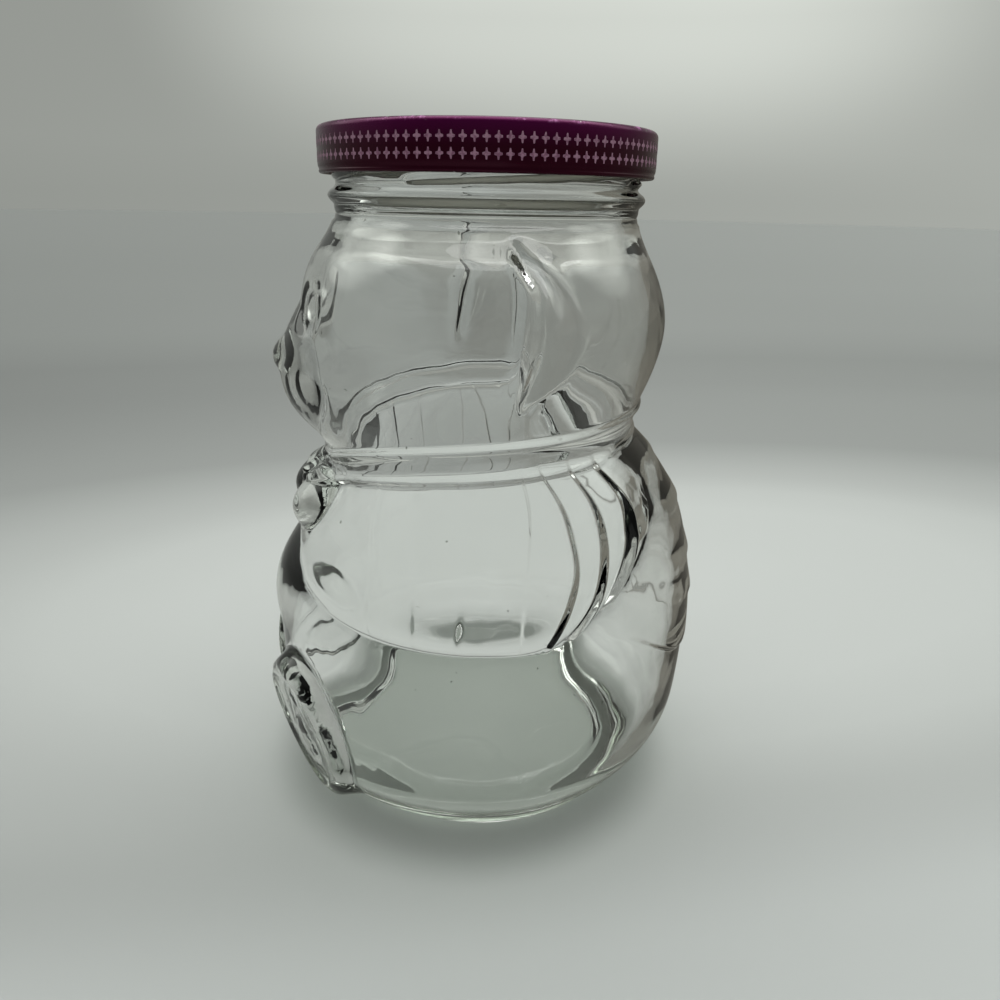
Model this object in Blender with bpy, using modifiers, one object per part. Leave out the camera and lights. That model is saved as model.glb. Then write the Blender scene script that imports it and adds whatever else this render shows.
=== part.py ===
"""A glass jelly jar in the shape of a sitting bear, with a twist-off metal lid.

Metres, +Z up. The origin is on the table under the middle of the mouth. The bear looks along -Y, and its own
left side is +X. Angles round the jar are in degrees from the front, towards the bear's left.
"""

import math

import bmesh
import bpy
import numpy as np

# Glass jar
BEAR_HEIGHT = 0.1570  # table to the foot of the round neck
BELLY_RADIUS = 0.0612
HEAD_RADIUS = 0.0474
NECK_RADIUS = 0.0390
WALL = 0.0034
FLOOR = 0.0075  # table to the inner floor
FLOOR_CORNER = 0.0110  # radius where the inner floor meets the wall
BASE_RING_RADIUS = 0.0440
BASE_RING_WIDTH = 0.0045
PUSH_UP = 0.0025  # hollow under the base
PUSH_UP_SLOPE = 0.0035
LEAST_WALL = 0.0018
INNER_ROWS = 10

# Steps of the mesh round one half of the bear: angles, closer together at the front and in pairs on the cuts
# between the sleeve's ribs. The other half is its mirror image.
COLUMN_RUN_ANGLES = ((0.0, 37.5, 12), (37.5, 88.0, 11), (88.0, 100.8, 3))
COLUMN_PAIR_ANGLES = (103.2, 107.5, 109.9, 115.0, 117.4, 124.0, 132.0, 141.0, 150.5, 160.0, 170.0, 180.0)
# Steps up the wall: shares of BEAR_HEIGHT, with the count of rows below each. The rows at the first share follow
# the sleeve's lower edge, and those at the third and fourth follow the ribbon's two edges.
ROW_SHARES = ((0.395, 15), (0.400, 1), (0.624, 9), (0.678, 4), (1.0, 12))

# Heights as shares of BEAR_HEIGHT, then front, side and back radii as shares of BELLY_RADIUS.
BODY_SHARES = (
    (0.019, 0.800, 0.760, 0.752),
    (0.051, 0.880, 0.825, 0.830),
    (0.089, 0.920, 0.885, 0.915),
    (0.140, 0.945, 0.930, 0.970),
    (0.204, 0.955, 0.945, 0.992),
    (0.268, 0.972, 0.945, 1.003),
    (0.331, 0.970, 0.930, 1.008),
    (0.395, 0.930, 0.905, 0.998),
    (0.459, 0.870, 0.876, 0.962),
    (0.510, 0.810, 0.855, 0.925),
    (0.560, 0.755, 0.840, 0.870),
    (0.605, 0.700, 0.830, 0.790),
)
# The same heights, with radii as shares of HEAD_RADIUS.
HEAD_SHARES = (
    (0.637, 0.915, 1.068, 0.940),
    (0.675, 1.010, 1.068, 0.815),
    (0.713, 1.045, 1.076, 0.845),
    (0.752, 1.045, 1.093, 0.915),
    (0.796, 1.045, 1.105, 0.970),
    (0.841, 1.035, 1.105, 1.002),
    (0.892, 1.020, 1.072, 0.978),
    (0.936, 0.975, 1.000, 0.922),
    (0.968, 0.905, 0.920, 0.865),
)

# Arms: a thick ribbed sleeve from the shoulder round to the paw, above a round tummy.
# Angles, with the sleeve's lower and upper edges and the ribbon's middle as shares of BEAR_HEIGHT.
BAND_SHARES = (
    (0.0, 0.510, 0.516, 0.606),
    (10.0, 0.478, 0.529, 0.608),
    (20.0, 0.437, 0.561, 0.615),
    (35.0, 0.410, 0.614, 0.636),
    (50.0, 0.397, 0.640, 0.656),
    (65.0, 0.390, 0.656, 0.671),
    (80.0, 0.387, 0.666, 0.680),
    (95.0, 0.392, 0.673, 0.687),
    (108.0, 0.424, 0.678, 0.692),
    (120.0, 0.503, 0.680, 0.696),
    (135.0, 0.590, 0.680, 0.699),
    (180.0, 0.590, 0.680, 0.699),
)
ARM_REACH = 0.0075
ARM_PAW_REACH = 0.0022
ARM_PAW_ANGLE = 18.0
ARM_ELBOW_ANGLE = 75.0
ARM_SHOULDER_ANGLE = 110.0
ARM_ROUND_ANGLE = 20.0  # over which the sleeve sinks into the back
ARM_FULLEST = 0.45  # how far up the sleeve it stands out most
ARM_UNDERCUT_POWER = 0.6
# The cuts at the sleeve's shoulder end, where its ribs lap each other most: angles at these shares of
# BEAR_HEIGHT, and how far the glass steps out behind the last, with each cut's share of it.
RIB_HEIGHT_SHARES = (0.401, 0.471, 0.529, 0.573, 0.624, 0.669)
RIB_ANGLES = (
    (96.5, 100.3, 102.0, 101.1, 99.0, 94.6),
    (101.0, 107.2, 108.7, 108.8, 107.3, 102.6),
    (106.0, 113.2, 116.1, 116.8, 116.4, 111.0),
)
RIB_REACH = 0.0027
RIB_REACH_SHARES = (0.48, 0.70, 1.0)
RIB_STEP_ANGLE = 2.2
RIB_FALL_ANGLE = 16.0  # over which the last rib sinks into the back
RIB_LOWER_FADE = 0.0016
RIB_UPPER_FADE = 0.0050
SLEEVE_FADE = 0.0120  # beyond the sleeve, over which the mesh stops leaning with the cuts
TUMMY_REACH = 0.0030
TUMMY_HALF_WIDTH = 0.0320
TUMMY_HALF_HEIGHT = 0.0170
TUMMY_HEIGHT_SHARE = 0.401

# Legs, and the feet with their flat soles
LEG_REACH = 0.0022
LEG_HALF_HEIGHT = 0.0210
LEG_HEIGHT_SHARE = 0.165
LEG_FOOT_ANGLE = 24.0
LEG_HIP_ANGLE = 95.0
SOLE_DISTANCE = 0.0602  # from the jar's axis to the middle of a sole
SOLE_HALF_WIDTH = 0.0165
SOLE_HALF_HEIGHT = 0.0200
SOLE_HEIGHT_SHARE = 0.150
SOLE_ANGLE = 25.0
SOLE_LEAN = 12.0  # degrees that the toes lean forward of the heel
SOLE_EDGE_SHARE = 0.30  # of the sole's half width, over which its side falls back to the body
PAD_REACH = 0.0008
PAD_RADIUS = 0.0085

# Sweater: its hem round the back, and the ribbon and bow at the neck
HEM_REACH = 0.0010
HEM_BACK_SHARE = 0.285
HEM_HIP_SHARE = 0.410
HEM_HIP_ANGLE = 105.0
HEM_BACK_ANGLE = 152.0
HEM_EDGE = 0.0016
RIBBON_REACH = 0.0012
RIBBON_HALF_HEIGHT = 0.0042
RIBBON_EDGE = 0.0022
BOW_REACH = 0.0074
BOW_HALF_WIDTH = 0.0130
BOW_HALF_HEIGHT = 0.0105
BOW_ANGLE = 12.0
BOW_HEIGHT_SHARE = 0.552
KNOT_REACH = 0.0060
KNOT_HALF_WIDTH = 0.0062
KNOT_HALF_HEIGHT = 0.0070
KNOT_HEIGHT_SHARE = 0.575

# Face and ears
SNOUT_REACH = 0.0056
SNOUT_HALF_WIDTH = 0.0250
SNOUT_HALF_HEIGHT = 0.0180
SNOUT_HEIGHT_SHARE = 0.765
NOSE_REACH = 0.0022
NOSE_HALF_WIDTH = 0.0085
NOSE_HALF_HEIGHT = 0.0062
NOSE_HEIGHT_SHARE = 0.787
EYE_SOCKET_DEPTH = 0.0022
EYE_SOCKET_HALF_WIDTH = 0.0080
EYE_SOCKET_HALF_HEIGHT = 0.0085
EYE_ANGLE = 18.0
EYE_HEIGHT_SHARE = 0.876
EAR_REACH = 0.0072
EAR_HALF_HEIGHT = 0.0164
EAR_HEIGHT_SHARE = 0.872
EAR_EDGE_POWER = 0.6
EAR_FLAT_SHARE = 0.65  # of the reach that is left where the ear's back turns down to the head
# Shares of BEAR_HEIGHT, with the angles of the ear's front and back edges there.
EAR_EDGE_SHARES = (
    (0.772, 88.4, 93.0),
    (0.803, 88.9, 98.5),
    (0.834, 89.5, 102.0),
    (0.866, 90.3, 103.2),
    (0.898, 91.0, 102.6),
    (0.928, 91.0, 100.0),
    (0.968, 87.4, 95.0),
)
SWELL_POWER = 1.3
INNER_RELIEF_SHARE = 0.60  # how much of the outside's swells the inner wall follows

# Neck finish: the bead, the threads and the rim
BEAD_RADIUS = 0.0405
BEAD_HEIGHT_ON_NECK = 0.0060  # its middle, above the foot of the neck
BEAD_HALF_THICKNESS = 0.0021
FINISH_RADIUS = 0.0384
FINISH_HEIGHT = 0.0202  # foot of the neck to the rim
MOUTH_RADIUS = 0.0352
RIM_ROUND = 0.0014
THREADS = 4
THREAD_RADIUS = 0.00085  # of the round ridge
THREAD_SET_OUT = 0.0002  # from the finish to the middle of the ridge
THREAD_LEAD = 0.0140  # rise in one turn
THREAD_SWEEP = 112.0
THREAD_START_ANGLE = 50.0
THREAD_START_HEIGHT = 0.0091  # above the foot of the neck
THREAD_POINTS = 18
THREAD_END_SHARE = 0.35  # thickness left at a thread's faded ends

# Lid: one pressed sheet, with its curled edge and lugs, and the seal ring that it holds
SEAT_GAP = 0.0003
LID_RADIUS = 0.0425
LID_HEIGHT = 0.0109
LID_SHEET = 0.0003
LID_CORNER = 0.0014
LID_PANEL_DROP = 0.0006  # the middle of the panel lies lower than the channel round it
LID_PANEL_RADIUS = 0.0335
LID_PANEL_SLOPE = 0.0015
CURL_RADIUS = 0.0006
CURL_SINK = 0.0002  # how far the curl's middle lies inside the skirt
LUG_THICKNESS = 0.0008
LUG_WIDTH = 0.0080
LUG_CLEARANCE = 0.0004  # from the lug's tip to the finish
LUG_TURN = 105.0  # degrees past a thread's start at which the lug locks under it
LUG_OVERLAP = 0.0006  # that the lug runs into the skirt
SEAL_THICKNESS = 0.0007
SEAL_INNER_RADIUS = 0.0344
SEAL_OUTER_RADIUS = 0.0396
LID_STEPS = 60
WELD = 0.000005  # points closer than this are one point

GLASS_COLOUR = (0.80, 0.84, 0.82, 1.0)
LACQUER_COLOUR = (0.17, 0.01, 0.13, 1.0)
SEAL_COLOUR = (0.80, 0.78, 0.72, 1.0)


def new_collection(name):
    collection = bpy.data.collections.new(name)
    bpy.context.scene.collection.children.link(collection)
    return collection


def material(name, colour, roughness, metallic=0.0, transmission=0.0):
    made = bpy.data.materials.new(name)
    made.use_nodes = True
    shader = made.node_tree.nodes["Principled BSDF"]
    shader.inputs["Base Color"].default_value = colour
    shader.inputs["Roughness"].default_value = roughness
    shader.inputs["Metallic"].default_value = metallic
    shader.inputs["Transmission Weight"].default_value = transmission
    return made


def smooth(value):
    """0 below 0, 1 above 1, and an even curve between."""
    value = np.clip(value, 0.0, 1.0)
    return value * value * (3.0 - 2.0 * value)


def through(places, values, at):
    """A smooth curve through the given points."""
    slopes = np.gradient(values, places)
    first = np.clip(np.searchsorted(places, at) - 1, 0, len(places) - 2)
    span = places[first + 1] - places[first]
    t = np.clip((at - places[first]) / span, 0.0, 1.0)
    start, end = values[first], values[first + 1]
    level = start * (1 + 2 * t) * (1 - t) ** 2 + end * t * t * (3 - 2 * t)
    return level + span * (slopes[first] * t * (1 - t) ** 2 - slopes[first + 1] * t * t * (1 - t))


def outline():
    """Heights with the front, side and back radii at each."""
    rows = [(0.0, BASE_RING_RADIUS, BASE_RING_RADIUS, BASE_RING_RADIUS)]
    for shares, radius in ((BODY_SHARES, BELLY_RADIUS), (HEAD_SHARES, HEAD_RADIUS)):
        for height, front, side, back in shares:
            rows.append((height * BEAR_HEIGHT, front * radius, side * radius, back * radius))
    rows.append((BEAR_HEIGHT, NECK_RADIUS, NECK_RADIUS, NECK_RADIUS))
    return np.array(rows).T


OUTLINE = outline()


def plain_radius(angle, z):
    """The bear without its features: an oval at each height."""
    heights, front, side, back = OUTLINE
    z = np.clip(z, 0.0, BEAR_HEIGHT)
    turn = np.radians(angle)
    along = np.where(np.abs(angle) < 90.0, through(heights, front, z), through(heights, back, z))
    across = through(heights, side, z)
    return 1.0 / np.sqrt((np.cos(turn) / along) ** 2 + (np.sin(turn) / across) ** 2)


def swell(angle, z, radius, at_angle, at_z, half_width, half_height, reach):
    """A soft round bump of the given reach."""
    across = np.radians(angle - at_angle) * radius / half_width
    up = (z - at_z) / half_height
    return reach * np.clip(1.0 - across**2 - up**2, 0.0, 1.0) ** SWELL_POWER


def bands(angle):
    """The heights of the sleeve's lower and upper edges and of the ribbon's middle, all round."""
    angles, lower, upper, middle = np.array(BAND_SHARES).T
    return [through(angles, shares * BEAR_HEIGHT, angle) for shares in (lower, upper, middle)]


def rib_angles(z):
    heights = np.array(RIB_HEIGHT_SHARES) * BEAR_HEIGHT
    return [through(heights, np.array(angles), z) for angles in RIB_ANGLES]


def laps(angle, z):
    """Each rib starts at a cut, where the glass steps out, and sinks slowly to the next."""
    lower, upper, _ = bands(angle)
    starts = rib_angles(z)
    ends = starts[1:] + [starts[-1] + RIB_FALL_ANGLE]
    total = np.zeros_like(z)
    for start, end, share in zip(starts, ends, RIB_REACH_SHARES):
        fall = np.clip((end - angle) / (end - start), 0.0, 1.0)
        total = total + share * RIB_REACH * np.clip(0.5 + (angle - start) / RIB_STEP_ANGLE, 0.0, 1.0) * fall
    return total * smooth((z - lower) / RIB_LOWER_FADE) * smooth((upper - z) / RIB_UPPER_FADE)


def arm(angle, z):
    """Fullest below its middle, where it turns under steeply. It thins towards the ribbon and the paw."""
    lower, upper, _ = bands(angle)
    fullest = lower + ARM_FULLEST * (upper - lower)
    up = np.where(z < fullest, (fullest - z) / (fullest - lower), (z - fullest) / (upper - fullest))
    beyond = np.maximum(angle - ARM_SHOULDER_ANGLE, 0.0) / ARM_ROUND_ANGLE
    form = np.clip(1.0 - up**2 - beyond**2, 0.0, 1.0)
    along = smooth((angle - ARM_PAW_ANGLE) / (ARM_ELBOW_ANGLE - ARM_PAW_ANGLE))
    reach = ARM_PAW_REACH + (ARM_REACH - ARM_PAW_REACH) * along
    return reach * np.where(z < fullest, form**ARM_UNDERCUT_POWER, form) + laps(angle, z)


def tummy(angle, z, radius):
    at_z = TUMMY_HEIGHT_SHARE * BEAR_HEIGHT
    return swell(angle, z, radius, 0.0, at_z, TUMMY_HALF_WIDTH, TUMMY_HALF_HEIGHT, TUMMY_REACH)


def leg(angle, z, radius):
    """A round-ended swelling from the foot back to the hip."""
    beyond = np.maximum(LEG_FOOT_ANGLE - angle, 0.0) + np.maximum(angle - LEG_HIP_ANGLE, 0.0)
    across = np.radians(beyond) * radius / LEG_HALF_HEIGHT
    up = (z - LEG_HEIGHT_SHARE * BEAR_HEIGHT) / LEG_HALF_HEIGHT
    return LEG_REACH * np.clip(1.0 - across**2 - up**2, 0.0, 1.0)


def ear(angle, z):
    """The ear's rim stands up steeply from the cheek, and its back falls slowly to the head behind."""
    shares, fronts, backs = np.array(EAR_EDGE_SHARES).T
    front, back = (through(shares * BEAR_HEIGHT, edge, z) for edge in (fronts, backs))
    past = (angle - front) / (back - front)
    rise = smooth((past + 0.10) / 0.26)
    fall = 1.0 - (1.0 - EAR_FLAT_SHARE) * np.clip((past - 0.25) / 0.5, 0.0, 1.0)
    end = 1.0 - np.clip((past - 0.55) / 0.5, 0.0, 1.0) ** 2
    up = (z - EAR_HEIGHT_SHARE * BEAR_HEIGHT) / EAR_HALF_HEIGHT
    return EAR_REACH * rise * fall * end * np.clip(1.0 - up**2, 0.0, 1.0) ** EAR_EDGE_POWER


def snout(angle, z, radius):
    at_z = SNOUT_HEIGHT_SHARE * BEAR_HEIGHT
    return swell(angle, z, radius, 0.0, at_z, SNOUT_HALF_WIDTH, SNOUT_HALF_HEIGHT, SNOUT_REACH)


def face(angle, z, radius):
    nose_z = NOSE_HEIGHT_SHARE * BEAR_HEIGHT
    eye_z = EYE_HEIGHT_SHARE * BEAR_HEIGHT
    nose = swell(angle, z, radius, 0.0, nose_z, NOSE_HALF_WIDTH, NOSE_HALF_HEIGHT, NOSE_REACH)
    socket = swell(
        angle, z, radius, EYE_ANGLE, eye_z, EYE_SOCKET_HALF_WIDTH, EYE_SOCKET_HALF_HEIGHT, EYE_SOCKET_DEPTH
    )
    return nose - socket


def ribbon(angle, z):
    inside = (RIBBON_HALF_HEIGHT - np.abs(z - bands(angle)[2])) / RIBBON_EDGE
    return RIBBON_REACH * smooth(0.5 + inside)


def bow(angle, z, radius):
    loop_z = BOW_HEIGHT_SHARE * BEAR_HEIGHT
    knot_z = KNOT_HEIGHT_SHARE * BEAR_HEIGHT
    loop = swell(angle, z, radius, BOW_ANGLE, loop_z, BOW_HALF_WIDTH, BOW_HALF_HEIGHT, BOW_REACH)
    knot = swell(angle, z, radius, 0.0, knot_z, KNOT_HALF_WIDTH, KNOT_HALF_HEIGHT, KNOT_REACH)
    return np.maximum(loop, knot)


def hem_line(angle):
    """How far along the hem an angle is, from 0 at the hip to 1 at the back, and the hem's height there."""
    along = smooth((angle - HEM_HIP_ANGLE) / (HEM_BACK_ANGLE - HEM_HIP_ANGLE))
    return along, BEAR_HEIGHT * (HEM_HIP_SHARE + (HEM_BACK_SHARE - HEM_HIP_SHARE) * along)


def hem(angle, z):
    """The sweater stands proud of the seat above its hem."""
    along, edge = hem_line(angle)
    below_ribbon = smooth((bands(angle)[2] - z) / RIBBON_HALF_HEIGHT)
    return HEM_REACH * smooth(0.5 + (z - edge) / HEM_EDGE) * smooth(along) * below_ribbon


def sole(angle, z, radius):
    """The radius with the foot: a flat oval sole, leaning forward at the toes, with a raised pad."""
    lean = math.radians(SOLE_LEAN)
    turn = np.radians(np.clip(angle - SOLE_ANGLE, -60.0, 60.0))
    middle = SOLE_HEIGHT_SHARE * BEAR_HEIGHT
    plane = (SOLE_DISTANCE + (z - middle) * math.tan(lean)) / np.cos(turn)
    across = radius * np.sin(turn) / SOLE_HALF_WIDTH
    up = (z - middle) / (SOLE_HALF_HEIGHT * math.cos(lean))
    off = np.sqrt(across**2 + up**2)
    inside = smooth((1.0 + SOLE_EDGE_SHARE - off) / SOLE_EDGE_SHARE)
    pad = np.hypot(across * SOLE_HALF_WIDTH, z - middle) / PAD_RADIUS
    plane = plane + PAD_REACH * smooth(2.0 - 2.0 * pad)
    return radius + (plane - radius) * inside


def bear_radius(angle, z):
    """The outside of the glass at any angle and height."""
    angle = np.abs(angle)
    plain = plain_radius(angle, z)
    front = np.maximum(bow(angle, z, plain), tummy(angle, z, plain))
    body = plain + np.maximum(arm(angle, z), front) + leg(angle, z, plain)
    head = ear(angle, z) + snout(angle, z, plain) + face(angle, z, plain)
    return sole(angle, z, body + head + ribbon(angle, z) + hem(angle, z))


def inner_radius(angle, z):
    """The inside of the glass: a softer copy of the outside, with at least the thinnest wall."""
    angle = np.abs(angle)
    plain = plain_radius(angle, z)
    sleeve = np.maximum(arm(angle, z) - laps(angle, z), tummy(angle, z, plain))
    swells = sleeve + leg(angle, z, plain) + snout(angle, z, plain)
    return np.minimum(plain + INNER_RELIEF_SHARE * swells - WALL, bear_radius(angle, z) - LEAST_WALL)


def side_radius(z):
    """The turned jar's radius, before the bear is drawn out of it."""
    return float(plain_radius(90.0, z))


def arc_points(centre, radius, start, end, count):
    turns = np.radians(np.linspace(start, end, count))
    return [(centre[0] + radius * math.cos(t), centre[1] + radius * math.sin(t)) for t in turns]


def row_heights():
    """The wall's rows before they follow the sleeve and the ribbon."""
    heights = [0.0]
    for share, count in ROW_SHARES:
        heights += list(np.linspace(heights[-1], share * BEAR_HEIGHT, count + 1)[1:])
    return heights


def row_place(angle, z):
    """The real height of a row at an angle. It follows the sleeve's lower edge and the ribbon's two edges."""
    lower, _, middle = bands(angle)
    edge = np.minimum(lower, hem_line(angle)[1])
    low, high, top = (ROW_SHARES[index][0] * BEAR_HEIGHT for index in (0, 2, 3))
    marks = [np.zeros_like(z), edge, middle - RIBBON_HALF_HEIGHT, middle + RIBBON_HALF_HEIGHT]
    marks.append(np.full_like(z, BEAR_HEIGHT))
    nominal = (0.0, low, high, top, BEAR_HEIGHT)
    real = np.zeros_like(z)
    for index in range(4):
        share = np.clip((z - nominal[index]) / (nominal[index + 1] - nominal[index]), 0.0, 1.0)
        real = real + share * (marks[index + 1] - marks[index])
    return real


def column_places():
    """The angles of the mesh's steps round one half."""
    angles = []
    for start, end, count in COLUMN_RUN_ANGLES:
        angles += list(np.linspace(start, end, count + 1)[:-1])
    return np.array(angles + [COLUMN_RUN_ANGLES[-1][1], *COLUMN_PAIR_ANGLES])


def column_place(angle, z):
    """The real angle of a step at a height: on the sleeve it leans with the cuts between the ribs."""
    middle = RIB_HEIGHT_SHARES[2] * BEAR_HEIGHT
    nominal = [0.0, COLUMN_RUN_ANGLES[1][1]] + [float(cut) for cut in rib_angles(middle)] + [180.0]
    real = [0.0, COLUMN_RUN_ANGLES[1][1]] + rib_angles(z) + [180.0]
    low, high = (share * BEAR_HEIGHT for share in (ROW_SHARES[0][0], ROW_SHARES[3][0]))
    within = smooth((z - low) / SLEEVE_FADE + 1.0) * smooth((high - z) / SLEEVE_FADE + 1.0)
    moved = np.zeros_like(z)
    for index in range(len(nominal) - 1):
        share = np.clip((angle - nominal[index]) / (nominal[index + 1] - nominal[index]), 0.0, 1.0)
        moved = moved + share * (real[index + 1] - real[index])
    return angle + (moved - angle) * within


def jar_profile():
    """Half the jar's section, from the middle of the inner floor over the rim to the middle of the base."""
    rim_z = BEAR_HEIGHT + FINISH_HEIGHT
    corner_top = FLOOR + FLOOR_CORNER
    floor_radius = side_radius(corner_top) - WALL - FLOOR_CORNER
    points = [(0.0, FLOOR)]
    points += arc_points((floor_radius, corner_top), FLOOR_CORNER, 270.0, 360.0, 5)
    for z in np.linspace(corner_top, BEAR_HEIGHT, INNER_ROWS)[1:-1]:
        points.append((side_radius(z) - WALL, z))
    points += [(MOUTH_RADIUS, BEAR_HEIGHT)]
    points += arc_points((MOUTH_RADIUS + RIM_ROUND, rim_z - RIM_ROUND), RIM_ROUND, 180.0, 90.0, 3)
    points += arc_points((FINISH_RADIUS - RIM_ROUND, rim_z - RIM_ROUND), RIM_ROUND, 90.0, 0.0, 3)
    bead_z = BEAR_HEIGHT + BEAD_HEIGHT_ON_NECK
    bead_middle = (BEAD_RADIUS - BEAD_HALF_THICKNESS, bead_z)
    points += [(FINISH_RADIUS, bead_z + BEAD_HALF_THICKNESS)]
    points += arc_points(bead_middle, BEAD_HALF_THICKNESS, 60.0, -60.0, 5)
    points += [(NECK_RADIUS, bead_z - BEAD_HALF_THICKNESS)]
    for z in reversed(row_heights()):
        points.append((side_radius(z), z))
    ring_inner = BASE_RING_RADIUS - BASE_RING_WIDTH
    return points + [(ring_inner, 0.0), (ring_inner - PUSH_UP_SLOPE, PUSH_UP), (0.0, PUSH_UP)]


def face_outwards(mesh):
    """Welds a closed mesh and points its faces out."""
    shape = bmesh.new()
    shape.from_mesh(mesh)
    bmesh.ops.remove_doubles(shape, verts=shape.verts, dist=WELD)
    bmesh.ops.recalc_face_normals(shape, faces=shape.faces)
    shape.to_mesh(mesh)
    shape.free()


def turned(name, profile, steps, collection):
    """The profile turned once round Z, as a mesh object of its own."""
    mesh = bpy.data.meshes.new(name + "_profile")
    count = len(profile)
    mesh.from_pydata([(x, 0.0, z) for x, z in profile], [(i, i + 1) for i in range(count - 1)], [])
    guide = bpy.data.objects.new(name + "_profile", mesh)
    bpy.context.scene.collection.objects.link(guide)
    screw = guide.modifiers.new("turn", "SCREW")
    screw.axis = "Z"
    screw.steps = screw.render_steps = steps
    screw.use_merge_vertices = True
    screw.merge_threshold = WELD
    graph = bpy.context.evaluated_depsgraph_get()
    made = bpy.data.meshes.new_from_object(guide.evaluated_get(graph))
    made.name = name
    bpy.data.objects.remove(guide)
    face_outwards(made)
    piece = bpy.data.objects.new(name, made)
    collection.objects.link(piece)
    return piece


def shape_bear(mesh):
    """Moves the turned jar's points out to the bear, and leaves its neck and base ring round."""
    count = len(mesh.vertices)
    points = np.empty(count * 3)
    mesh.vertices.foreach_get("co", points)
    points = points.reshape(count, 3)
    radius = np.hypot(points[:, 0], points[:, 1])
    turn = np.degrees(np.arctan2(points[:, 0], -points[:, 1]))
    places = column_places()
    angle = np.interp(np.abs(turn), np.linspace(0.0, 180.0, len(places)), places)
    z = points[:, 2]
    turned_radius = plain_radius(np.full(count, 90.0), z)
    inside = (z >= (FLOOR + PUSH_UP) / 2.0) & (radius < turned_radius - WALL / 2.0)
    fixed = (z <= 0.0) | (z >= BEAR_HEIGHT) | ((z <= PUSH_UP) & (radius < BASE_RING_RADIUS))
    height = np.where(inside | fixed, z, row_place(angle, z))
    angle = column_place(angle, height)
    scale_out = bear_radius(angle, height) / turned_radius
    scale_in = inner_radius(angle, height) / (turned_radius - WALL)
    scale = np.where(fixed, 1.0, np.where(inside, scale_in, scale_out))
    turn = np.radians(np.where(turn < 0.0, -angle, angle))
    points[:, 0] = radius * scale * np.sin(turn)
    points[:, 1] = -radius * scale * np.cos(turn)
    points[:, 2] = height
    mesh.vertices.foreach_set("co", points.ravel())
    mesh.update()


def curve_mesh(name, points, thickness, shares, collection):
    """A round bar along the points, made a closed mesh."""
    data = bpy.data.curves.new(name, "CURVE")
    data.dimensions = "3D"
    data.bevel_depth = thickness
    data.bevel_resolution = 2
    data.use_fill_caps = True
    spline = data.splines.new("POLY")
    spline.points.add(len(points) - 1)
    for point, place, share in zip(spline.points, points, shares):
        point.co = (*place, 1.0)
        point.radius = share
    guide = bpy.data.objects.new(name + "_curve", data)
    bpy.context.scene.collection.objects.link(guide)
    graph = bpy.context.evaluated_depsgraph_get()
    mesh = bpy.data.meshes.new_from_object(guide.evaluated_get(graph))
    bpy.data.objects.remove(guide)
    face_outwards(mesh)
    piece = bpy.data.objects.new(name, mesh)
    collection.objects.link(piece)
    return piece


def thread_ridge(index, collection):
    places, shares = [], []
    for step in range(THREAD_POINTS):
        along = step / (THREAD_POINTS - 1)
        turn = math.radians(THREAD_START_ANGLE + index * 360.0 / THREADS + along * THREAD_SWEEP)
        radius = FINISH_RADIUS + THREAD_SET_OUT
        rise = THREAD_LEAD * along * THREAD_SWEEP / 360.0
        z = BEAR_HEIGHT + THREAD_START_HEIGHT + rise
        places.append((radius * math.sin(turn), -radius * math.cos(turn), z))
        to_end = min(along, 1.0 - along) * (THREAD_POINTS - 1) / 2.0
        shares.append(THREAD_END_SHARE + (1.0 - THREAD_END_SHARE) * float(smooth(to_end)))
    return curve_mesh(f"thread_{index}", places, THREAD_RADIUS, shares, collection)


def join_to(piece, other):
    """A Boolean union, kept as a modifier. The helper itself is hidden."""
    union = piece.modifiers.new("join_" + other.name, "BOOLEAN")
    union.operation = "UNION"
    union.object = other
    other.hide_render = True
    other.display_type = "WIRE"


def shade(piece, look, angle=30.0):
    piece.data.materials.clear()
    piece.data.materials.append(look)
    piece.data.shade_smooth()
    piece.data.set_sharp_from_angle(angle=math.radians(angle))


def glass_jar(collection, helpers):
    jar = turned("glass_jar", jar_profile(), 2 * len(column_places()) - 2, collection)
    shape_bear(jar.data)
    for index in range(THREADS):
        join_to(jar, thread_ridge(index, helpers))
    shade(jar, material("clear_glass", GLASS_COLOUR, 0.03, transmission=1.0))
    return jar


def lid_levels():
    """The heights of the rim, the seal, the underside of the lid's channel and its top."""
    rim = BEAR_HEIGHT + FINISH_HEIGHT
    seal = rim + SEAT_GAP
    channel = seal + SEAL_THICKNESS + SEAT_GAP
    return rim, seal, channel, channel + LID_SHEET


def lid_profile():
    """Half the lid's section, from the top of its middle down the skirt and back up inside."""
    _, _, channel, top = lid_levels()
    bottom = top - LID_HEIGHT
    panel = top - LID_PANEL_DROP
    inner = LID_RADIUS - LID_SHEET
    corner = (LID_RADIUS - LID_CORNER, top - LID_CORNER)
    curl = (LID_RADIUS - CURL_SINK - CURL_RADIUS, bottom + CURL_RADIUS)
    points = [(0.0, panel), (LID_PANEL_RADIUS - LID_PANEL_SLOPE, panel), (LID_PANEL_RADIUS, top)]
    points += arc_points(corner, LID_CORNER, 90.0, 0.0, 4)
    points += arc_points(curl, CURL_RADIUS, 45.0, -180.0, 6)
    points += [(inner - CURL_SINK, bottom + CURL_RADIUS + CURL_RADIUS)]
    points += arc_points(corner, LID_CORNER - LID_SHEET, 0.0, 90.0, 4)
    points += [(LID_PANEL_RADIUS, channel), (LID_PANEL_RADIUS - LID_PANEL_SLOPE, panel - LID_SHEET)]
    return points + [(0.0, panel - LID_SHEET)]


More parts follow.
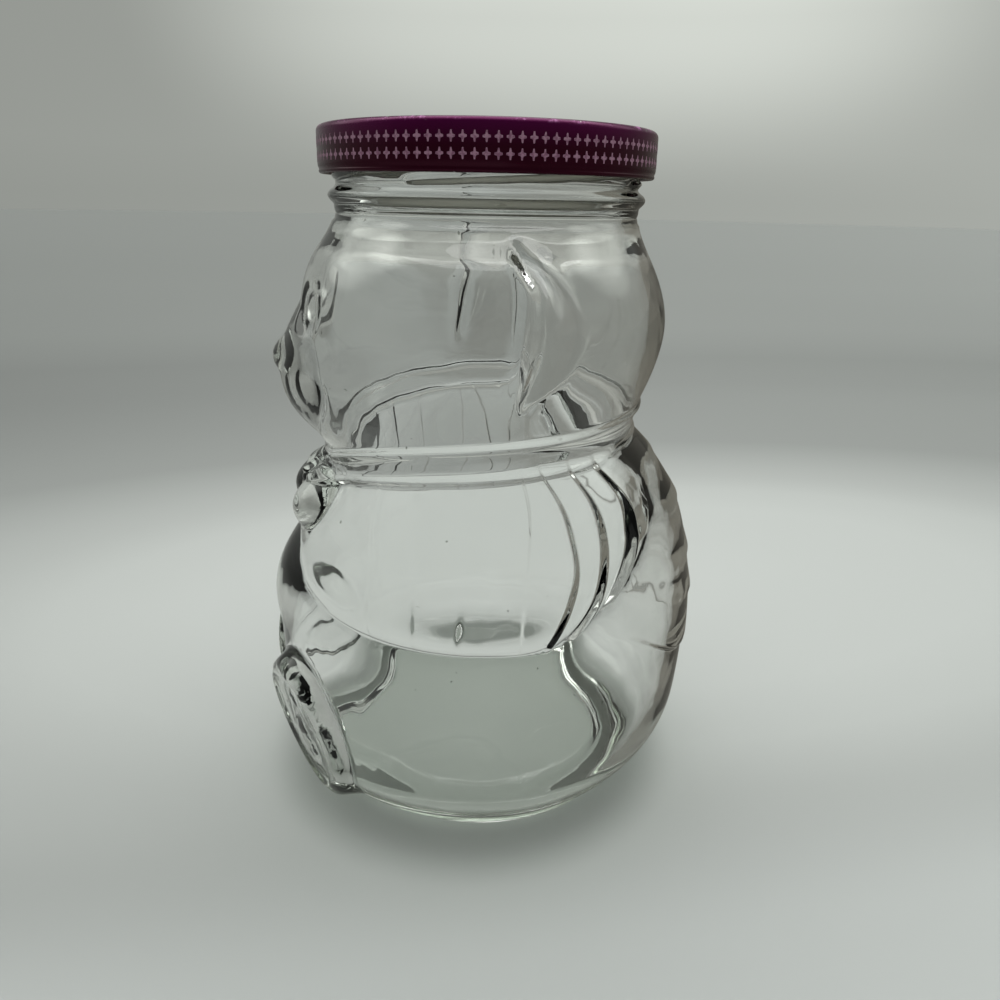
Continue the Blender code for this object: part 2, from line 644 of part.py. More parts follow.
def lug(index, collection):
    """A flat tongue from the curl, in under the thread."""
    _, _, _, top = lid_levels()
    turn = math.radians(THREAD_START_ANGLE + LUG_TURN + index * 360.0 / THREADS)
    inner = FINISH_RADIUS + LUG_CLEARANCE
    outer = LID_RADIUS - LID_SHEET - CURL_RADIUS + LUG_OVERLAP - CURL_SINK
    z = top - LID_HEIGHT + CURL_RADIUS
    mesh = bpy.data.meshes.new(f"lug_{index}")
    shape = bmesh.new()
    bmesh.ops.create_cube(shape, size=1.0)
    bmesh.ops.scale(shape, vec=(LUG_WIDTH, outer - inner, LUG_THICKNESS), verts=shape.verts)
    shape.to_mesh(mesh)
    shape.free()
    piece = bpy.data.objects.new(f"lug_{index}", mesh)
    middle = (inner + outer) / 2.0
    piece.location = (middle * math.sin(turn), -middle * math.cos(turn), z)
    piece.rotation_euler = (0.0, 0.0, turn)
    collection.objects.link(piece)
    return piece


def lid_shell(collection, helpers):
    lid = turned("lid_shell", lid_profile(), LID_STEPS, collection)
    for index in range(THREADS):
        join_to(lid, lug(index, helpers))
    shade(lid, material("purple_lacquer", LACQUER_COLOUR, 0.28, metallic=0.1))
    return lid


def seal_ring(collection):
    _, seal, _, _ = lid_levels()
    top = seal + SEAL_THICKNESS
    profile = [(SEAL_INNER_RADIUS, top), (SEAL_OUTER_RADIUS, top), (SEAL_OUTER_RADIUS, seal)]
    profile.append((SEAL_INNER_RADIUS, seal))
    ring = turned("seal_ring", profile + profile[:1], LID_STEPS, collection)
    shade(ring, material("seal_compound", SEAL_COLOUR, 0.55))
    return ring


def build():
    for old in list(bpy.data.objects):
        bpy.data.objects.remove(old)
    parts = new_collection("bear_jelly_jar")
    helpers = new_collection("helpers")
    glass_jar(parts, helpers)
    lid_shell(parts, helpers)
    seal_ring(parts)


build()
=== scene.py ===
import math

import bpy
import numpy as np
from mathutils import Matrix, Vector


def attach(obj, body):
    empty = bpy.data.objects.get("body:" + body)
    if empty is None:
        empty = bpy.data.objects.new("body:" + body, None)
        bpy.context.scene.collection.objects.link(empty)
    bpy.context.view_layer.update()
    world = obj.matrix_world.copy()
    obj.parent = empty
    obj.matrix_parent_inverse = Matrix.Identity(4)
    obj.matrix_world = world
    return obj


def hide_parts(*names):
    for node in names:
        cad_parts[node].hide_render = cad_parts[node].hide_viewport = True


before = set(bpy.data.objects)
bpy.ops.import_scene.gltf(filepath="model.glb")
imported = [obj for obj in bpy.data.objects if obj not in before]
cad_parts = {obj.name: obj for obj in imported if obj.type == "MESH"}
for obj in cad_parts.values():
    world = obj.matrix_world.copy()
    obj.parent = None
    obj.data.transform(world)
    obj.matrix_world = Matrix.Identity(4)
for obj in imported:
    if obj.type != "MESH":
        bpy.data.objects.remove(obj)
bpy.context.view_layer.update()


# Camera
# It stands on the bear's left side, a little ahead of the middle, as high as the bead on the jar's neck.
# It looks across the jar, down by about 20 degrees and back by 11, and leans by about one degree.
CAMERA_PLACE = (0.22045, -0.03775, 0.163)
SENSOR_WIDTH = 36.0
FOCAL_LENGTH = 29.12
LOOK_DOWN = math.radians(20.45)
LOOK_BACK = math.radians(11.0)
LEAN = math.radians(1.2)
look_level = Vector((-math.cos(LOOK_BACK), math.sin(LOOK_BACK), 0.0))
look_right = Vector((math.sin(LOOK_BACK), math.cos(LOOK_BACK), 0.0))
look_ahead = look_level * math.cos(LOOK_DOWN) - Vector((0.0, 0.0, math.sin(LOOK_DOWN)))
look_up = look_right.cross(look_ahead)
axis_right = look_right * math.cos(LEAN) + look_up * math.sin(LEAN)
axis_up = look_up * math.cos(LEAN) - look_right * math.sin(LEAN)
camera_data = bpy.data.cameras.new("camera")
camera_data.sensor_width = SENSOR_WIDTH
camera_data.lens = FOCAL_LENGTH
camera_data.clip_start = 0.01
camera_data.clip_end = 60.0
camera = bpy.data.objects.new("camera", camera_data)
bpy.context.scene.collection.objects.link(camera)
turned_axes = Matrix((axis_right, axis_up, -look_ahead)).transposed()
camera.matrix_world = Matrix.Translation(CAMERA_PLACE) @ turned_axes.to_4x4()
bpy.context.scene.camera = camera
bpy.context.scene.view_settings.view_transform = "Standard"


# Floor and light
# A wide sheet of pale grey paper, lit as in a light tent that is open towards the camera: an even glow from
# all round and one large soft lamp overhead. Painted into the paper's colour are a pool of light that fades
# with distance, more light at the right, a paler level before the jar, a shadow round the jar's foot, and the
# dark room where the paper is seen in the glass.
POOL_MIDDLE = (-0.10, 0.08, 0.0)
POOL_SHAPE = (1.0, 0.5, 1.0)
POOL_HALF = 0.25
FLOOR_RADIUS = 8.0
PAPER_TINT = (0.960, 1.005, 0.960)
# The paper on the open side, before the jar, painted to the paler level of the light that falls there.
NEAR_PAPER_PAINTED_LIGHT = (0.522, 0.548, 0.528, 1.0)
# The room beyond the tent, which the edges of the glass pick up: it darkens the tent's glow there, and is
# painted into the paper where the paper is seen in the glass.
ROOM_TONE = (0.110, 0.095, 0.070, 1.0)
FILL_LIGHT = (0.60, 0.61, 0.60, 1.0)
# How much more light falls at the right than at the left: in the tent's glow, and painted into the paper's
# colour.
SIDE_SHARE = 0.27
BELOW_CAMERA = (0.22, -0.04, 0.0)
JAR_MIDDLE = (0.002, -0.003, 0.0)
# How dark the painted shadow on the paper round the jar's foot is.
PAINTED_CONTACT_SHADOW = 0.36
# Distance from the middle of the painted pool of light in metres, and how pale the paper is painted there.
PAINTED_POOL_FADES = (
    (0.00, 0.620),
    (0.05, 0.600),
    (0.09, 0.595),
    (0.12, 0.560),
    (0.145, 0.490),
    (0.165, 0.455),
    (0.19, 0.405),
    (0.22, 0.345),
    (0.30, 0.325),
    (0.42, 0.310),
    (0.55, 0.320),
    (0.77, 0.400),
    (1.34, 0.470),
    (3.00, 0.500),
    (6.00, 0.505),
)


class Wire:
    """One output of a node. Arithmetic on it adds Math nodes, so that a pattern reads as a sum."""

    def __init__(self, socket):
        self.socket = socket
        self.tree = socket.id_data

    @classmethod
    def node(cls, tree, kind, settings, sockets, out=0):
        """Adds a node with its settings first, then the values or wires of its sockets."""
        made = tree.nodes.new(kind)
        stops = settings.pop("stops", None)
        for name, value in settings.items():
            setattr(made, name, value)
        for place, stop in enumerate(stops or ()):
            elements = made.color_ramp.elements
            element = elements[place] if place < 2 else elements.new(stop[0])
            element.position = stop[0]
            element.color = (*stop[1], 1.0) if isinstance(stop[1], tuple) else (stop[1],) * 3 + (1.0,)
        for name, value in sockets.items():
            if isinstance(value, cls):
                tree.links.new(value.socket, made.inputs[name])
            else:
                made.inputs[name].default_value = value
        return cls(made.outputs[out])

    def math(self, operation, *others):
        values = dict(enumerate((self, *others)))
        return Wire.node(self.tree, "ShaderNodeMath", {"operation": operation}, values)

    def __add__(self, other):
        return self.math("ADD", other)

    def __mul__(self, other):
        return self.math("MULTIPLY", other)

    def __sub__(self, other):
        return self.math("SUBTRACT", other)

    def __rsub__(self, other):
        values = {0: other, 1: self}
        return Wire.node(self.tree, "ShaderNodeMath", {"operation": "SUBTRACT"}, values)

    def __truediv__(self, other):
        return self.math("DIVIDE", other)

    __radd__ = __add__
    __rmul__ = __mul__

    def rise(self, low, high):
        """0 below low, 1 above high, and an even curve between."""
        settings = {"interpolation_type": "SMOOTHSTEP"}
        return Wire.node(self.tree, "ShaderNodeMapRange", settings, {0: self, 1: low, 2: high})

    def mix(self, first, second):
        """Colours mixed by this share: first at 0, second at 1."""
        sockets = {"Factor": self, 6: first, 7: second}
        return Wire.node(self.tree, "ShaderNodeMix", {"data_type": "RGBA"}, sockets, out=2)


def new_material(name, **constants):
    """A material with its constant values set on the shader's own sockets."""
    made = bpy.data.materials.new(name)
    made.use_nodes = True
    shader = made.node_tree.nodes["Principled BSDF"]
    for socket, value in constants.items():
        shader.inputs[socket.replace("_", " ")].default_value = value
    return made, made.node_tree, shader


def object_place(tree):
    return Wire.node(tree, "ShaderNodeTexCoord", {}, {}, out="Object")


def part_of(tree, place, axis):
    return Wire.node(tree, "ShaderNodeSeparateXYZ", {}, {"Vector": place}, out=axis)


def vector_math(tree, operation, first, second=(0.0, 0.0, 0.0), out=0):
    return Wire.node(tree, "ShaderNodeVectorMath", {"operation": operation}, {0: first, 1: second}, out)


def scaled(tree, colour, share):
    return Wire.node(tree, "ShaderNodeVectorMath", {"operation": "SCALE"}, {0: colour, "Scale": share})


def light_path(tree, name):
    return Wire.node(tree, "ShaderNodeLightPath", {}, {}, out=name)


def noise(tree, place, scale, detail=3.0, roughness=0.5):
    sockets = {"Vector": place, "Scale": scale, "Detail": detail, "Roughness": roughness}
    return Wire.node(tree, "ShaderNodeTexNoise", {}, sockets)


def bumped(tree, height, distance, strength=1.0, normal=None):
    sockets = {"Height": height, "Distance": distance, "Strength": strength}
    if normal is not None:
        sockets["Normal"] = normal
    return Wire.node(tree, "ShaderNodeBump", {}, sockets)


def feed(tree, shader, **wires):
    for socket, wire in wires.items():
        tree.links.new(wire.socket, shader.inputs[socket.replace("_", " ")])


def in_glass(tree, sideways, through):
    """How much of the room shows: one share for what is reflected in the glass or seen sideways through its
    edges, and one for what is seen straight through both walls, after four surfaces."""
    passed = light_path(tree, "Transmission Depth").math("GREATER_THAN", 3.5)
    share = sideways * (1.0 - passed) + passed * through
    return share * light_path(tree, "Is Glossy Ray")


paper, tree, shader = new_material("paper", Roughness=0.85, Specular_IOR_Level=0.2)
place = object_place(tree)
off = vector_math(tree, "MULTIPLY", vector_math(tree, "SUBTRACT", place, POOL_MIDDLE), POOL_SHAPE)
distance = vector_math(tree, "LENGTH", off, out="Value")
stops = []
for away, shade in PAINTED_POOL_FADES:
    stops.append((away / (away + POOL_HALF), tuple(shade * tint for tint in PAPER_TINT)))
# Painted light: the paper's colour is paler in a pool round the lamp and fades with distance.
faded = {"Fac": distance / (distance + POOL_HALF)}
paper_with_painted_light = Wire.node(tree, "ShaderNodeValToRGB", {"stops": stops}, faded)
paper_grain = noise(tree, place, 900.0, 2.0)
# Painted light: before the jar the paper is painted paler, to the level that the light gives there.
near_painted_light = part_of(tree, place, "X").rise(0.040, 0.090)
paper_with_painted_light = near_painted_light.mix(paper_with_painted_light, NEAR_PAPER_PAINTED_LIGHT)
# Painted light: away from the pool the paper's colour is paler at the right, where more light falls.
ahead = vector_math(tree, "NORMALIZE", vector_math(tree, "SUBTRACT", place, BELOW_CAMERA))
sideways = vector_math(tree, "DOT_PRODUCT", ahead, look_right, out="Value")
distant = distance.rise(0.15, 0.40)
lit_side = (sideways * SIDE_SHARE + 0.04) * distant + 1.0
# Painted shadow: a dark ring on the paper's colour round the jar's foot.
from_jar = vector_math(tree, "DISTANCE", place, JAR_MIDDLE, out="Value")
painted_contact_shadow = 1.0 - from_jar.rise(0.036, 0.047) * (1.0 - from_jar.rise(0.049, 0.066)) * PAINTED_CONTACT_SHADOW
paper_with_painted_light = scaled(tree, paper_with_painted_light, lit_side * painted_contact_shadow)
# Painted reflection: where the paper is seen in the glass or through its edges, it takes the dark tone of the
# room.
off_right = part_of(tree, place, "Y")
painted_room_reflection = in_glass(tree, off_right.rise(-0.05, 0.12) * 0.6 + 0.25, off_right.rise(0.05, 0.15) * 0.35)
paper_with_painted_light = painted_room_reflection.mix(paper_with_painted_light, ROOM_TONE)
feed(tree, shader, Base_Color=paper_with_painted_light, Normal=bumped(tree, paper_grain, 0.00002, 0.4))

floor_turns = np.radians(np.arange(0.0, 360.0, 3.0))
floor_points = [(FLOOR_RADIUS * math.cos(t), FLOOR_RADIUS * math.sin(t), 0.0) for t in floor_turns]
floor_mesh = bpy.data.meshes.new("floor")
floor_mesh.from_pydata(floor_points, [], [tuple(range(len(floor_points)))])
floor_mesh.materials.append(paper)
floor = bpy.data.objects.new("floor", floor_mesh)
bpy.context.scene.collection.objects.link(floor)

tent = bpy.data.worlds.new("tent")
tent.use_nodes = True
tree = tent.node_tree
glow = tree.nodes["Background"]
towards = Wire.node(tree, "ShaderNodeTexCoord", {}, {}, out="Generated")
climb = part_of(tree, towards, "Z")


def along(direction):
    """How far the tent's direction agrees with this one."""
    return vector_math(tree, "DOT_PRODUCT", towards, direction, out="Value")


# The sine of the height above the horizon, and how bright the tent is there.
TENT_LEVELS = ((0.0, 0.335), (0.05, 0.350), (0.10, 0.345), (0.18, 0.34), (0.30, 0.42), (0.42, 0.22),
               (0.62, 0.16), (0.78, 0.5), (0.88, 0.9))
TENT_TINT = (0.980, 1.025, 0.950)
# Where the back wall glows, where the tent is open, and where the room beyond it lies.
BACK_GLOW = (-0.930, 0.250, 0.250)
OPEN_SIDE = (0.982, -0.191, 0.0)
ROOM_SIDE = (-0.30, 0.95, 0.0)
# The tent's two side walls, each with a lamp behind it.
FRONT_PANEL = (-0.406, -0.675, 0.616)
BACK_PANEL = (-0.108, 0.770, 0.629)
PANEL_GLOW = 7.0
tent_colour = Wire.node(tree, "ShaderNodeValToRGB", {"stops": TENT_LEVELS}, {"Fac": climb})
brighter = along(BACK_GLOW).rise(0.88, 0.99) * climb.rise(0.0, 0.17) * 0.78 + 1.0
darker = 1.0 - along(OPEN_SIDE).rise(0.10, 0.75) * 0.72
panels = along(FRONT_PANEL).rise(0.90, 0.985) + along(BACK_PANEL).rise(0.93, 0.99)
lit_side = along(look_right) * SIDE_SHARE + 1.04
shown = brighter * darker * lit_side + panels * PANEL_GLOW
tent_seen = vector_math(tree, "MULTIPLY", scaled(tree, tent_colour, shown), TENT_TINT)
room_side = along(ROOM_SIDE).rise(0.0, 0.7) * (1.0 - climb.rise(0.20, 0.40))
tent_seen = in_glass(tree, room_side * 0.7, room_side * 0.35).mix(tent_seen, ROOM_TONE)
seen = light_path(tree, "Is Camera Ray")
for kind in ("Is Glossy Ray", "Is Transmission Ray"):
    seen = seen.math("MAXIMUM", light_path(tree, kind))
# Light that reaches the paper through the glass is the even fill too.
seen = seen * (1.0 - light_path(tree, "Diffuse Depth").math("MINIMUM", 1.0))
tree.links.new(seen.mix(FILL_LIGHT, tent_seen).socket, glow.inputs["Color"])
bpy.context.scene.world = tent

LAMP_SIZE = 0.9
LAMP_POWER = 4.0
LAMP_PLACE = (-0.12, 0.06, 0.85)
LAMP_AIM = Vector((0.0, 0.0, 0.05))
lamp_data = bpy.data.lights.new("overhead", "AREA")
lamp_data.shape = "DISK"
lamp_data.size = LAMP_SIZE
lamp_data.energy = LAMP_POWER
lamp = bpy.data.objects.new("overhead", lamp_data)
lamp.location = LAMP_PLACE
lamp.rotation_euler = (LAMP_AIM - lamp.location).to_track_quat("-Z", "Y").to_euler()
bpy.context.scene.collection.objects.link(lamp)


# Glass jar
# One piece of clear flint glass, blown in a mould of two halves that draws the sitting bear out of a round
# jar. The outside is crisp, and the inside follows it softly. Sizes here are in millimetres, and angles in
# degrees from the front towards the bear's left side. Both sides are alike but for the depth of the ribs.
WALL = 3.3
THINNEST = 1.7
INNER_FLOOR = 7.5
INNER_CORNER = 9.0
PUSH_UP = 2.5
NECK_FOOT = 157.0
NECK_RADIUS = 39.0
FINISH_RADIUS = 38.4
MOUTH_RADIUS = 35.2
RIM_HEIGHT = 177.2
RIM_ROUND = 1.4
# Heights, with the front, side and back radii of the bear without its features.
BEAR_LEVELS = (
    (0.0, 44.0, 44.0, 44.0),
    (3.0, 49.0, 46.5, 46.0),
    (8.0, 53.9, 50.5, 50.8),
    (14.0, 56.3, 54.2, 56.0),
    (22.0, 57.8, 56.9, 59.4),
    (32.0, 58.4, 57.8, 60.7),
    (42.1, 59.5, 57.8, 61.4),
    (52.0, 59.4, 56.9, 61.4),
    (62.0, 56.9, 55.4, 60.7),
    (72.1, 53.2, 53.6, 58.9),
    (80.1, 49.6, 52.3, 56.6),
    (87.9, 46.2, 51.4, 53.2),
    (95.0, 42.8, 50.8, 48.3),
    (100.0, 43.4, 50.6, 44.6),
    (106.0, 47.9, 50.6, 38.6),
    (111.9, 49.5, 51.0, 40.1),
    (118.1, 49.5, 51.8, 43.4),
    (125.0, 49.5, 52.4, 46.0),
    (132.0, 49.1, 52.4, 47.5),
    (140.0, 48.3, 50.8, 46.4),
    (147.0, 46.2, 47.4, 43.7),
    (152.0, 42.9, 43.6, 41.0),
    (157.0, 39.0, 39.0, 39.0),
    (163.0, 39.0, 39.0, 39.0),
)


def smooth(value):
    """0 below 0, 1 above 1, and an even curve between."""
    value = np.clip(value, 0.0, 1.0)
    return value * value * (3.0 - 2.0 * value)


def ridge(offset, half_width):
    """A rounded ridge, 1 along its middle and 0 from half_width on."""
    return np.clip(1.0 - (offset / half_width) ** 2, 0.0, 1.0) ** 1.5


def through(places, values, at):
    """A smooth curve through the given points, level beyond them."""
    slopes = np.gradient(values, places)
    first = np.clip(np.searchsorted(places, at) - 1, 0, len(places) - 2)
    span = places[first + 1] - places[first]
    t = np.clip((at - places[first]) / span, 0.0, 1.0)
    start, end = values[first], values[first + 1]
    level = start * (1 + 2 * t) * (1 - t) ** 2 + end * t * t * (3 - 2 * t)
    return level + span * (slopes[first] * t * (1 - t) ** 2 - slopes[first + 1] * t * t * (1 - t))


def curve(points, at):
    places, values = np.array(points, dtype=float).T
    return through(places, values, at)


# The levels joined by smooth curves, and above the foot softened over a few millimetres, as glass is.
level_heights, *level_radii = np.array(BEAR_LEVELS).T
fine_heights = np.arange(-12.0, 176.0, 0.5)
soft_weights = np.exp(-((np.arange(-20, 21) / 6.0) ** 2) / 2.0)
soft_weights = soft_weights / soft_weights.sum()
fine_radii = []
for radii in level_radii:
    crisp = through(level_heights, radii, fine_heights)
    soft = np.convolve(np.pad(crisp, 20, mode="edge"), soft_weights, mode="valid")
    fine_radii.append(crisp + (soft - crisp) * smooth((fine_heights - 6.0) / 10.0))


def plain_radius(angle, z):
    """The bear's radius without its features: half an ellipse in front, and half of another behind."""
    front, side, back = (np.interp(z, fine_heights, radii) for radii in fine_radii)
    turn = np.radians(angle)
    along = np.where(angle < 90.0, front, back)
    return 1.0 / np.sqrt((np.cos(turn) / along) ** 2 + (np.sin(turn) / side) ** 2)


def swell(angle, z, radius, at_angle, at_z, half_width, half_height, reach, power):
    """A soft round bump."""
    across = np.radians(angle - at_angle) * radius / half_width
    up = (z - at_z) / half_height
    return reach * np.clip(1.0 - across**2 - up**2, 0.0, 1.0) ** power


# Edges that run round the bear: angle and height.
SLEEVE_LOWER = ((0, 80.1), (10, 75.0), (20, 68.6), (35, 64.4), (50, 62.3), (65, 61.2), (80, 60.8),
                (95, 61.5), (108, 66.6), (120, 79.0), (135, 92.6), (180, 92.6))
SLEEVE_UPPER = ((0, 81.0), (10, 83.1), (20, 88.1), (35, 96.4), (50, 100.5), (65, 103.0), (80, 104.6),
                (95, 105.7), (108, 106.4), (120, 106.8), (180, 106.8))
RIBBON_MIDDLE = ((0, 95.1), (10, 95.5), (20, 96.6), (35, 99.9), (50, 103.0), (65, 105.3), (80, 106.8),
                 (95, 107.9), (108, 108.6), (120, 109.3), (135, 109.7), (180, 109.7))
RIBBON_HALF_HEIGHT = 4.2
RIBBON_STEP = 0.6
RIBBON_PIPING = 0.55
# The jar's widest place across, where the fullest rib ends.
WIDEST = 60.17
# The cuts between the sleeve's ribs: their angles at six heights, then the step and its width. The last three
# are deep, and shallower on the bear's right side.
RIB_HEIGHTS = (63.0, 74.0, 83.0, 90.0, 98.0, 105.0)
DEEP_CUTS_FROM = 4
RIGHT_SIDE_DEPTH = 0.3
RIB_CUTS = (
    ((52.2, 52.7, 52.8, 50.6, 49.9, 49.5), 0.45, 0.7),
    ((64.2, 64.9, 64.5, 63.2, 61.0, 60.0), 0.45, 0.7),
    ((74.3, 75.8, 75.9, 75.6, 74.4, 73.5), 0.50, 0.7),
    ((89.4, 89.5, 90.2, 91.0, 91.2, 89.8), 0.45, 0.7),
    ((96.5, 100.3, 102.0, 101.1, 99.0, 94.6), 2.10, 0.55),
    ((101.0, 107.2, 108.7, 108.8, 107.3, 102.6), 2.70, 0.75),
    ((106.0, 113.2, 116.1, 116.8, 116.4, 111.0), 3.50, 1.2),
)


def rib_angle(cut, z):
    return through(np.array(RIB_HEIGHTS), np.array(RIB_CUTS[cut][0]), z)


def sleeve(angle, z, radius, depth):
    """A thick sleeve from the shoulder round to the paw, in ribs that lap each other. Depth is the share to
    which the deep cuts between them are made."""
    lower, upper = curve(SLEEVE_LOWER, angle), curve(SLEEVE_UPPER, angle)
    fullest = lower + 0.45 * (upper - lower)
    up = np.where(z < fullest, (fullest - z) / (fullest - lower), (z - fullest) / (upper - fullest))
    beyond = np.maximum(angle - 110.0, 0.0) / 20.0
    form = np.clip(1.0 - up**2 - beyond**2, 0.0, 1.0)
    reach = 2.2 + 5.3 * smooth((angle - 18.0) / 57.0) - 1.4 * smooth((angle - 84.0) / 14.0)
    lap = np.zeros_like(form)
    for cut in range(len(RIB_CUTS)):
        step, width = RIB_CUTS[cut][1:]
        step = np.where(cut < DEEP_CUTS_FROM, step, step * depth)
        start = rib_angle(cut, z)
        end = rib_angle(cut + 1, z) if cut + 1 < len(RIB_CUTS) else start + 16.0
        off = np.radians(angle - start) * radius
        fall = np.clip((end - angle) / (end - start), 0.0, 1.0)
        face_share = np.clip(0.5 + off / width, 0.0, 1.0)
        lap = lap + step * (0.3 * smooth(face_share) + 0.7 * face_share) * fall ** 0.8
    inside = smooth((z - lower + 0.3) / 1.6) * smooth((upper + 1.0 - z) / 5.0)
    inside = inside * (1.0 - 0.5 * smooth((z - 92.0) / 10.0))
    hem = 0.5 * ridge(z - lower - 0.2, 1.1) * smooth((angle - 16.0) / 12.0) * smooth((108.0 - angle) / 8.0)
    return reach * np.where(z < fullest, form**0.6, form) + lap * inside + hem


# The ear's two edges: height and angle.
EAR_FRONT = ((122, 88.4), (126, 88.9), (134, 90.0), (140, 91.0), (145, 91.2), (149, 89.0), (153, 86.4))
EAR_BACK = ((121, 93.0), (126, 98.5), (131, 102.0), (136, 103.2), (141, 102.6), (146, 100.0), (152, 95.0))
EAR_HEIGHT = 136.9
EAR_HALF_HEIGHT = 19.0
EAR_REACH = 6.0


def ear(angle, z):
    """The ear's rim stands up steeply from the cheek, and its back falls slowly to the head behind."""
    front, back = curve(EAR_FRONT, z), curve(EAR_BACK, z)
    share = (angle - front) / (back - front)
    rise = smooth((share + 0.08) / 0.24)
    fall = 1.0 - smooth((share - 0.22) / 1.05)
    envelope = np.clip(1.0 - ((z - EAR_HEIGHT) / EAR_HALF_HEIGHT) ** 2, 0.0, 1.0) ** 1.5
    return EAR_REACH * envelope * rise * fall


# Lines across the back, each by its angles and heights, and the two dimples above the ear.
BACK_LINES = (
    ((117, 96.8), (180, 96.6)),
    ((117, 88.5), (136, 85.9), (180, 84.0)),
    ((118, 74.8), (137, 70.8), (180, 67.0)),
    ((119, 71.5), (155, 59.0), (180, 56.0)),
)
DIMPLES = ((87.9, 150.0), (95.0, 148.6))


def mould_ticks(angle, z):
    """Small marks of the mould: the back's rib lines and the dimples above the ear."""
    marks = np.zeros_like(z)
    for points in BACK_LINES:
        off = z - curve(points, angle)
        lap = smooth(0.5 + off / 0.8) * np.clip(1.0 - off / 6.0, 0.0, 1.0)
        marks = marks + 0.7 * lap * smooth((angle - points[0][0]) / 3.0)
    for at_angle, at_z in DIMPLES:
        away = np.hypot(np.radians(angle - at_angle) * 50.0 / 0.9, (z - at_z) / 1.5)
        marks = marks - 0.3 * ridge(away, 1.0)
    return marks


# Soft bumps: angle, height, half width, half height and reach, and the power that rounds them.
SNOUT = (0.0, 120.1, 25.0, 18.0, 5.6, 1.3)
NOSE = (0.0, 124.0, 8.0, 4.8, 1.9, 1.1)
CHEEK = (21.0, 117.4, 6.0, 4.4, 0.5, 1.3)
EYE_SOCKET = (18.3, 137.0, 7.4, 7.2, 1.4, 1.4)
EYE_BEAD = (17.2, 137.0, 4.6, 3.9, 1.2, 1.1)
TUMMY = (0.0, 63.0, 32.0, 17.0, 3.0, 1.8)
BOW_LOOP = (12.0, 86.7, 13.0, 10.5, 7.4, 1.3)
BOW_KNOT = (0.0, 90.3, 6.2, 7.0, 6.0, 1.3)


def round_edge(angle, z, radius, bump, half_width, half_height):
    """How far a place lies outside an oval round a bump's middle, as a share of the oval's size."""
    across = np.radians(angle - bump[0]) * radius / half_width
    return np.hypot(across, (z - bump[1]) / half_height) - 1.0


def face(angle, z, radius):
    """Snout, nose, mouth and eyes: a plain bear's face, as soft as blown glass makes it."""
    relief = sum(swell(angle, z, radius, *bump) for bump in (SNOUT, NOSE, CHEEK, EYE_BEAD))
    smile = 0.25 * ridge(round_edge(angle, z, radius, CHEEK, 7.4, 5.6), 0.22) * smooth((122.5 - z) / 3.0)
    lip = 0.15 * ridge(round_edge(angle, z, radius, EYE_SOCKET, 7.6, 7.4), 0.16)
    return relief - smile - swell(angle, z, radius, *EYE_SOCKET) + lip


SOLE_ANGLE = 25.0
SOLE_HEIGHT = 23.55
SOLE_DISTANCE = 60.2
SOLE_LEAN = math.radians(12.0)
SOLE_HALF_WIDTH = 16.5
SOLE_HALF_HEIGHT = 20.0
TOE_PLACES = ((-8.2, 8.2), (0.0, 11.2), (8.2, 8.2))


def sole(angle, z, radius):
    """The flat underside of a foot: a raised rim, one large pad and three toe pads."""
    turn = np.radians(np.clip(angle - SOLE_ANGLE, -60.0, 60.0))
    plane = (SOLE_DISTANCE + (z - SOLE_HEIGHT) * math.tan(SOLE_LEAN)) / np.cos(turn)
    wide = radius * np.sin(turn)
    high = (z - SOLE_HEIGHT) / math.cos(SOLE_LEAN)
    away = np.hypot(wide / SOLE_HALF_WIDTH, high / SOLE_HALF_HEIGHT)
    relief = 0.8 * smooth((1.0 - np.hypot(wide / 8.6, (high + 4.5) / 7.6)) / 0.3)
    for at_wide, at_high in TOE_PLACES:
        relief = relief + 0.6 * smooth((1.0 - np.hypot(wide - at_wide, high - at_high) / 3.6) / 0.6)
    relief = relief + 0.8 * ridge(away - 0.91, 0.10) - 0.5
    inside = smooth((1.25 - away) / 0.25)
    return radius + (plane + relief - radius) * inside


LEG_REACH = 1.7
LEG_HEIGHT = 25.9
LEG_HALF_HEIGHT = 25.0
LEG_ENDS = (24.0, 88.0)
HIP_HEM = 64.4
BACK_HEM = 44.7


def bear_radius(angle, z):
    """The outside of the glass at any angle and height."""
    rib_depth = np.where(angle < 0.0, RIGHT_SIDE_DEPTH, 1.0)
    angle = np.abs(angle)
    plain = plain_radius(angle, z)
    bow = np.maximum(swell(angle, z, plain, *BOW_LOOP), swell(angle, z, plain, *BOW_KNOT))
    front = np.maximum(bow, swell(angle, z, plain, *TUMMY))
    past_ends = np.maximum(LEG_ENDS[0] - angle, 0.0) + np.maximum(angle - LEG_ENDS[1], 0.0)
    beyond = np.radians(past_ends) * plain / 30.0
    leg = np.clip(1.0 - beyond**2 - ((z - LEG_HEIGHT) / LEG_HALF_HEIGHT) ** 2, 0.0, 1.0) ** 2.0
    leg = LEG_REACH * leg
    body = plain + np.maximum(sleeve(angle, z, plain, rib_depth), front) + leg
    # Ribbon, with its edges piped
    off = np.abs(z - curve(RIBBON_MIDDLE, angle))
    ribbon = RIBBON_STEP * smooth(0.5 + (RIBBON_HALF_HEIGHT - off) / 1.6)
    ribbon = ribbon + RIBBON_PIPING * ridge(off - 3.3, 1.3)
    # Sweater's back, from the ribbon down to its hem
    along = smooth((angle - 105.0) / 47.0)
    edge = HIP_HEM + (BACK_HEM - HIP_HEM) * along
    hem = 1.0 * smooth(0.5 + (z - edge) / 1.2) * smooth(along * 2.0) * smooth((106.0 - z) / 4.2)
    surface = body + ear(angle, z) + face(angle, z, plain) + ribbon + hem + mould_ticks(angle, z)
    surface = np.minimum(surface, WIDEST / np.maximum(np.sin(np.radians(angle)), 0.5))
    return sole(angle, z, surface)


